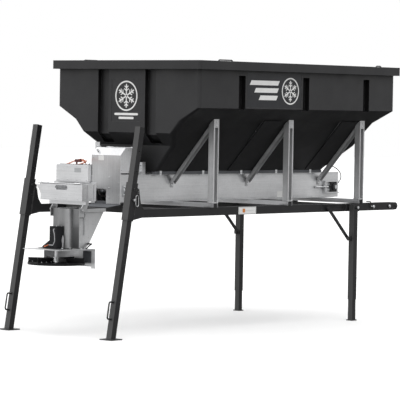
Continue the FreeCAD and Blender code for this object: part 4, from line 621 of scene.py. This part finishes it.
def welds():
    """Beads where the stand's tubes and plates meet."""
    bm = bmesh.new()
    for side in (-1, 1):
        inner = side * (RAIL_Y - RAIL_HALF)
        for x in (-1330.0, 760.0):
            for edge in (-25, 25):
                bead(bm, [(x + edge, inner, 920), (x + edge, inner, RAIL_TOP)], 3.0)
            bead(bm, [(x - 25, inner, 918), (x + 25, inner, 918)], 3.0)
        for s in (-1, 1):
            y = side * RAIL_Y + s * RAIL_HALF
            bead(bm, [(RAIL_FRONT, y, RAIL_BOTTOM + 3), (RAIL_FRONT, y, RAIL_TOP - 3)], 2.6)
        outer = side * (RAIL_Y + RAIL_HALF)
        for x in (500.0, 800.0, FRONT_X - 62, FRONT_X + 70):
            bead(bm, [(x, outer, RAIL_BOTTOM + 4), (x, outer, RAIL_TOP - 5)], 2.8)
        for s in (-1, 1):
            y = side * LEG_Y + s * (RAIL_HALF + 1.2)
            bead(bm, [(-1737, y, 893), (-1694, y, 1125)], 3.0)
            bead(bm, [(-1690, y, 1118), (-1674, y, 1012), (-1640, y, 969)], 2.6)
    piece("stand_welds", bm, "frame", LOOKS["stand_black"])
    for side, label in SIDES:
        bm = bmesh.new()
        tilt = math.tan(LEG_LEAN)
        x = LEG_FOOT_X + 8 * tilt
        h = LEG_HALF
        hx = h / math.cos(LEG_LEAN)
        y = side * LEG_Y
        bead(bm, [(x - hx, y - h, 8), (x + hx, y - h, 8), (x + hx, y + h, 8), (x - hx, y + h, 8),
                  (x - hx, y - h, 8)], 3.6)
        for z in (150, 278):
            gx = LEG_FOOT_X + z * tilt - hx
            stack(bm, at(gx + 1, y, z + 4), (-1, 0, -tilt), [(-1, 9.5), (2.0, 8.6), (3.4, 6.4)], 16)
        piece("leg_welds_" + label, bm, "rear_leg_" + label, LOOKS["stand_black"])
        bm = bmesh.new()
        y, h = side * FRONT_Y, FRONT_TUBE_HALF
        bead(bm, [(FRONT_X - h, y - h, 8), (FRONT_X + h, y - h, 8), (FRONT_X + h, y + h, 8),
                  (FRONT_X - h, y + h, 8), (FRONT_X - h, y - h, 8)], 3.0)
        piece("foot_welds_" + label, bm, "front_foot_" + label, LOOKS["stand_black"])


def strip_clips():
    """Small clips over the hopper's foot and the trough's edge."""
    bm = bmesh.new()
    for side in (-1, 1):
        for x in (-1060, -560, -96, 346, 790):
            def face(u, v, h, side=side):
                return at(u, side * (216 + h), v)
            slab(bm, round_rect(x, 1226, 24, 38, 4), face, 3)
            screw(bm, x, side * 219, 1226, (0, side, 0), 6)
    piece("strip_clips", bm, "frame", LOOKS["zinc"], smooth=False)


def chain_links():
    """Side plates and rollers on both strands of the conveyor chain."""
    bm = bmesh.new()
    r, run = CHAIN_R, IDLER_X - DRIVE_X
    total = 2 * run + 2 * math.pi * r
    count = int(total / 38.0)
    pitch = total / count

    def spot(d):
        d %= total
        if d < run:
            return DRIVE_X + d, SHAFT_Z + r, 0.0
        d -= run
        if d < math.pi * r:
            a = d / r
            return IDLER_X + r * math.sin(a), SHAFT_Z + r * math.cos(a), a
        d -= math.pi * r
        if d < run:
            return IDLER_X - d, SHAFT_Z - r, math.pi
        a = (d - run) / r
        return DRIVE_X - r * math.sin(a), SHAFT_Z - r * math.cos(a), math.pi + a
    for y0 in (-104, 90):
        for i in range(count):
            x, z, a = spot(i * pitch)
            stack(bm, at(x, y0 - 1.6, z), (0, 1, 0), [(0, 3.4), (17.2, 3.4)], 10)
            mx, mz, ma = spot((i + 0.5) * pitch)
            for y in (y0 - 1.2, y0 + 14):
                c, s = math.cos(ma), math.sin(ma)
                outline = round_rect(0, 0, pitch * 0.92, 9.4, 4.6)
                slab(bm, outline, lambda u, v, h, c=c, s=s, mx=mx, mz=mz, y=y:
                     at(mx + u * c + v * s, y + h, mz - u * s + v * c), 1.2)
    piece("chain_plates", bm, "frame", LOOKS["chain_steel"])


# ---- leads ----------------------------------------------------------------------------------

def lead(name, points, r, body, look, node):
    """A held cable on a smooth line through the CAD route's points."""
    curve = bpy.data.curves.new(name, "CURVE")
    curve.dimensions = "3D"
    curve.bevel_depth = r * MM
    curve.bevel_resolution = 4
    curve.resolution_u = 10
    curve.use_fill_caps = True
    spline = curve.splines.new("NURBS")
    spline.points.add(len(points) - 1)
    for spot, p in zip(spline.points, points):
        spot.co = (*at(*p), 1.0)
    spline.order_u = 3
    spline.use_endpoint_u = True
    curve.materials.append(look)
    obj = bpy.data.objects.new(name, curve)
    bpy.context.scene.collection.objects.link(obj)
    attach(obj, body)
    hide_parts(node)
    return obj


def leads():
    x, z = -1802, BOX_TOP + 30
    for i in range(2):
        y, dz = -106 - 8 * i, 7 * i
        lead("harness_lead_%d" % (i + 1),
             [(x, -84, z - 3 + dz), (x + 2, y, z - 4 + dz), (x + 46, y + 6, z - 8 + dz),
              (x + 52, 30, z - 44 + dz), (x + 54, 152, z - 46 + dz), (x + 96, 184, z - 40 + dz),
              (x + 240, 186, z + dz), (DRIVE_X - 110, 188, z - 2 + dz),
              (DRIVE_X - 51, 226, z - 66 + dz)], 2.6,
             "frame", LOOKS["lead_red"],
             "harness_leads")
    y = -TROUGH_Y + 6
    lead("front_loop", [(1040, y + 30, 1283), (1150, y, 1272), (1240, y, 1246), (1296, y, 1204),
                        (1304, y, 1160), (1262, y, 1114), (1255.5, y + 20, 1105)], 4.0, "frame",
         LOOKS["cable_black"], "front_cable")


# ---- stage, camera and light ----------------------------------------------------------------

def stage():
    bm = bmesh.new()
    bmesh.ops.create_grid(bm, x_segments=8, y_segments=8, size=60.0)
    mesh = bpy.data.meshes.new("floor")
    bm.to_mesh(mesh)
    bm.free()
    mesh.materials.append(finish("floor_white", (0.86, 0.86, 0.86), 0.0, (0.75, 0.85), tint=0.01,
                                 patch=1.5, peel=0.02))
    floor = bpy.data.objects.new("floor", mesh)
    bpy.context.scene.collection.objects.link(floor)
    floor.visible_diffuse = False
    floor.visible_glossy = False


def camera():
    turn, tilt, roll = (math.radians(a) for a in (CAMERA_TURN, CAMERA_TILT, CAMERA_ROLL))
    ahead = Vector((math.cos(turn) * math.cos(tilt), math.sin(turn) * math.cos(tilt),
                    math.sin(tilt)))
    right = Vector((math.sin(turn), -math.cos(turn), 0.0))
    up = right.cross(ahead)
    across = right * math.cos(roll) + up * math.sin(roll)
    above = up * math.cos(roll) - right * math.sin(roll)
    data = bpy.data.cameras.new("camera")
    data.lens = CAMERA_LENS
    data.sensor_width = 36.0
    data.clip_end = 200.0
    obj = bpy.data.objects.new("camera", data)
    matrix = Matrix((across, above, -ahead)).transposed().to_4x4()
    matrix.translation = Vector(CAMERA_AT)
    obj.matrix_world = matrix
    bpy.context.scene.collection.objects.link(obj)
    bpy.context.scene.camera = obj


def light():
    world = bpy.data.worlds.new("studio")
    world.use_nodes = True
    tree = world.node_tree
    tree.nodes.clear()

    def add(kind, **settings):
        node = tree.nodes.new(kind)
        for key, value in settings.items():
            setattr(node, key, value)
        return node

    def ramp(value, low, high, to_low, to_high):
        node = add("ShaderNodeMapRange", interpolation_type="SMOOTHSTEP")
        tree.links.new(value, node.inputs["Value"])
        for key, number in (("From Min", low), ("From Max", high), ("To Min", to_low),
                            ("To Max", to_high)):
            node.inputs[key].default_value = number
        return node.outputs["Result"]

    def times(a, b):
        node = add("ShaderNodeMath", operation="MULTIPLY")
        tree.links.new(a, node.inputs[0])
        tree.links.new(b, node.inputs[1])
        return node.outputs[0]
    way = add("ShaderNodeTexCoord").outputs["Generated"]
    split = add("ShaderNodeSeparateXYZ")
    tree.links.new(way, split.inputs[0])
    toward = add("ShaderNodeVectorMath", operation="DOT_PRODUCT")
    tree.links.new(way, toward.inputs[0])
    toward.inputs[1].default_value = BRIGHT_SIDE
    wall = ramp(toward.outputs["Value"], -0.9, 0.9, WALL_DIM, WALL_BRIGHT)
    wall = times(wall, ramp(split.outputs["Z"], -0.45, -0.02, FLOOR_DIM, 1.0))
    roof = ramp(split.outputs["Z"], 0.12, 0.8, 1.0, ROOF_BRIGHT)
    soft = add("ShaderNodeBackground")
    soft.inputs["Color"].default_value = (1.0, 1.0, 1.0, 1.0)
    tree.links.new(times(wall, roof), soft.inputs["Strength"])
    plain = add("ShaderNodeBackground")
    plain.inputs["Color"].default_value = (1.0, 1.0, 1.0, 1.0)
    plain.inputs["Strength"].default_value = 1.0
    path = add("ShaderNodeLightPath")
    both = add("ShaderNodeMixShader")
    tree.links.new(path.outputs["Is Camera Ray"], both.inputs[0])
    tree.links.new(soft.outputs[0], both.inputs[1])
    tree.links.new(plain.outputs[0], both.inputs[2])
    out = add("ShaderNodeOutputWorld")
    tree.links.new(both.outputs[0], out.inputs["Surface"])
    bpy.context.scene.world = world
    data = bpy.data.lights.new("key", "SUN")
    data.energy = KEY_STRENGTH
    data.angle = math.radians(KEY_ANGLE)
    key = bpy.data.objects.new("key", data)
    key.rotation_euler = Vector((0.35, 0.5, -0.8)).to_track_quat("-Z", "Y").to_euler()
    bpy.context.scene.collection.objects.link(key)
    bpy.context.scene.view_settings.view_transform = "Standard"


stage()
camera()
light()
emblems()
labels()
frame_fasteners()
moving_fasteners()
welds()
strip_clips()
chain_links()
leads()
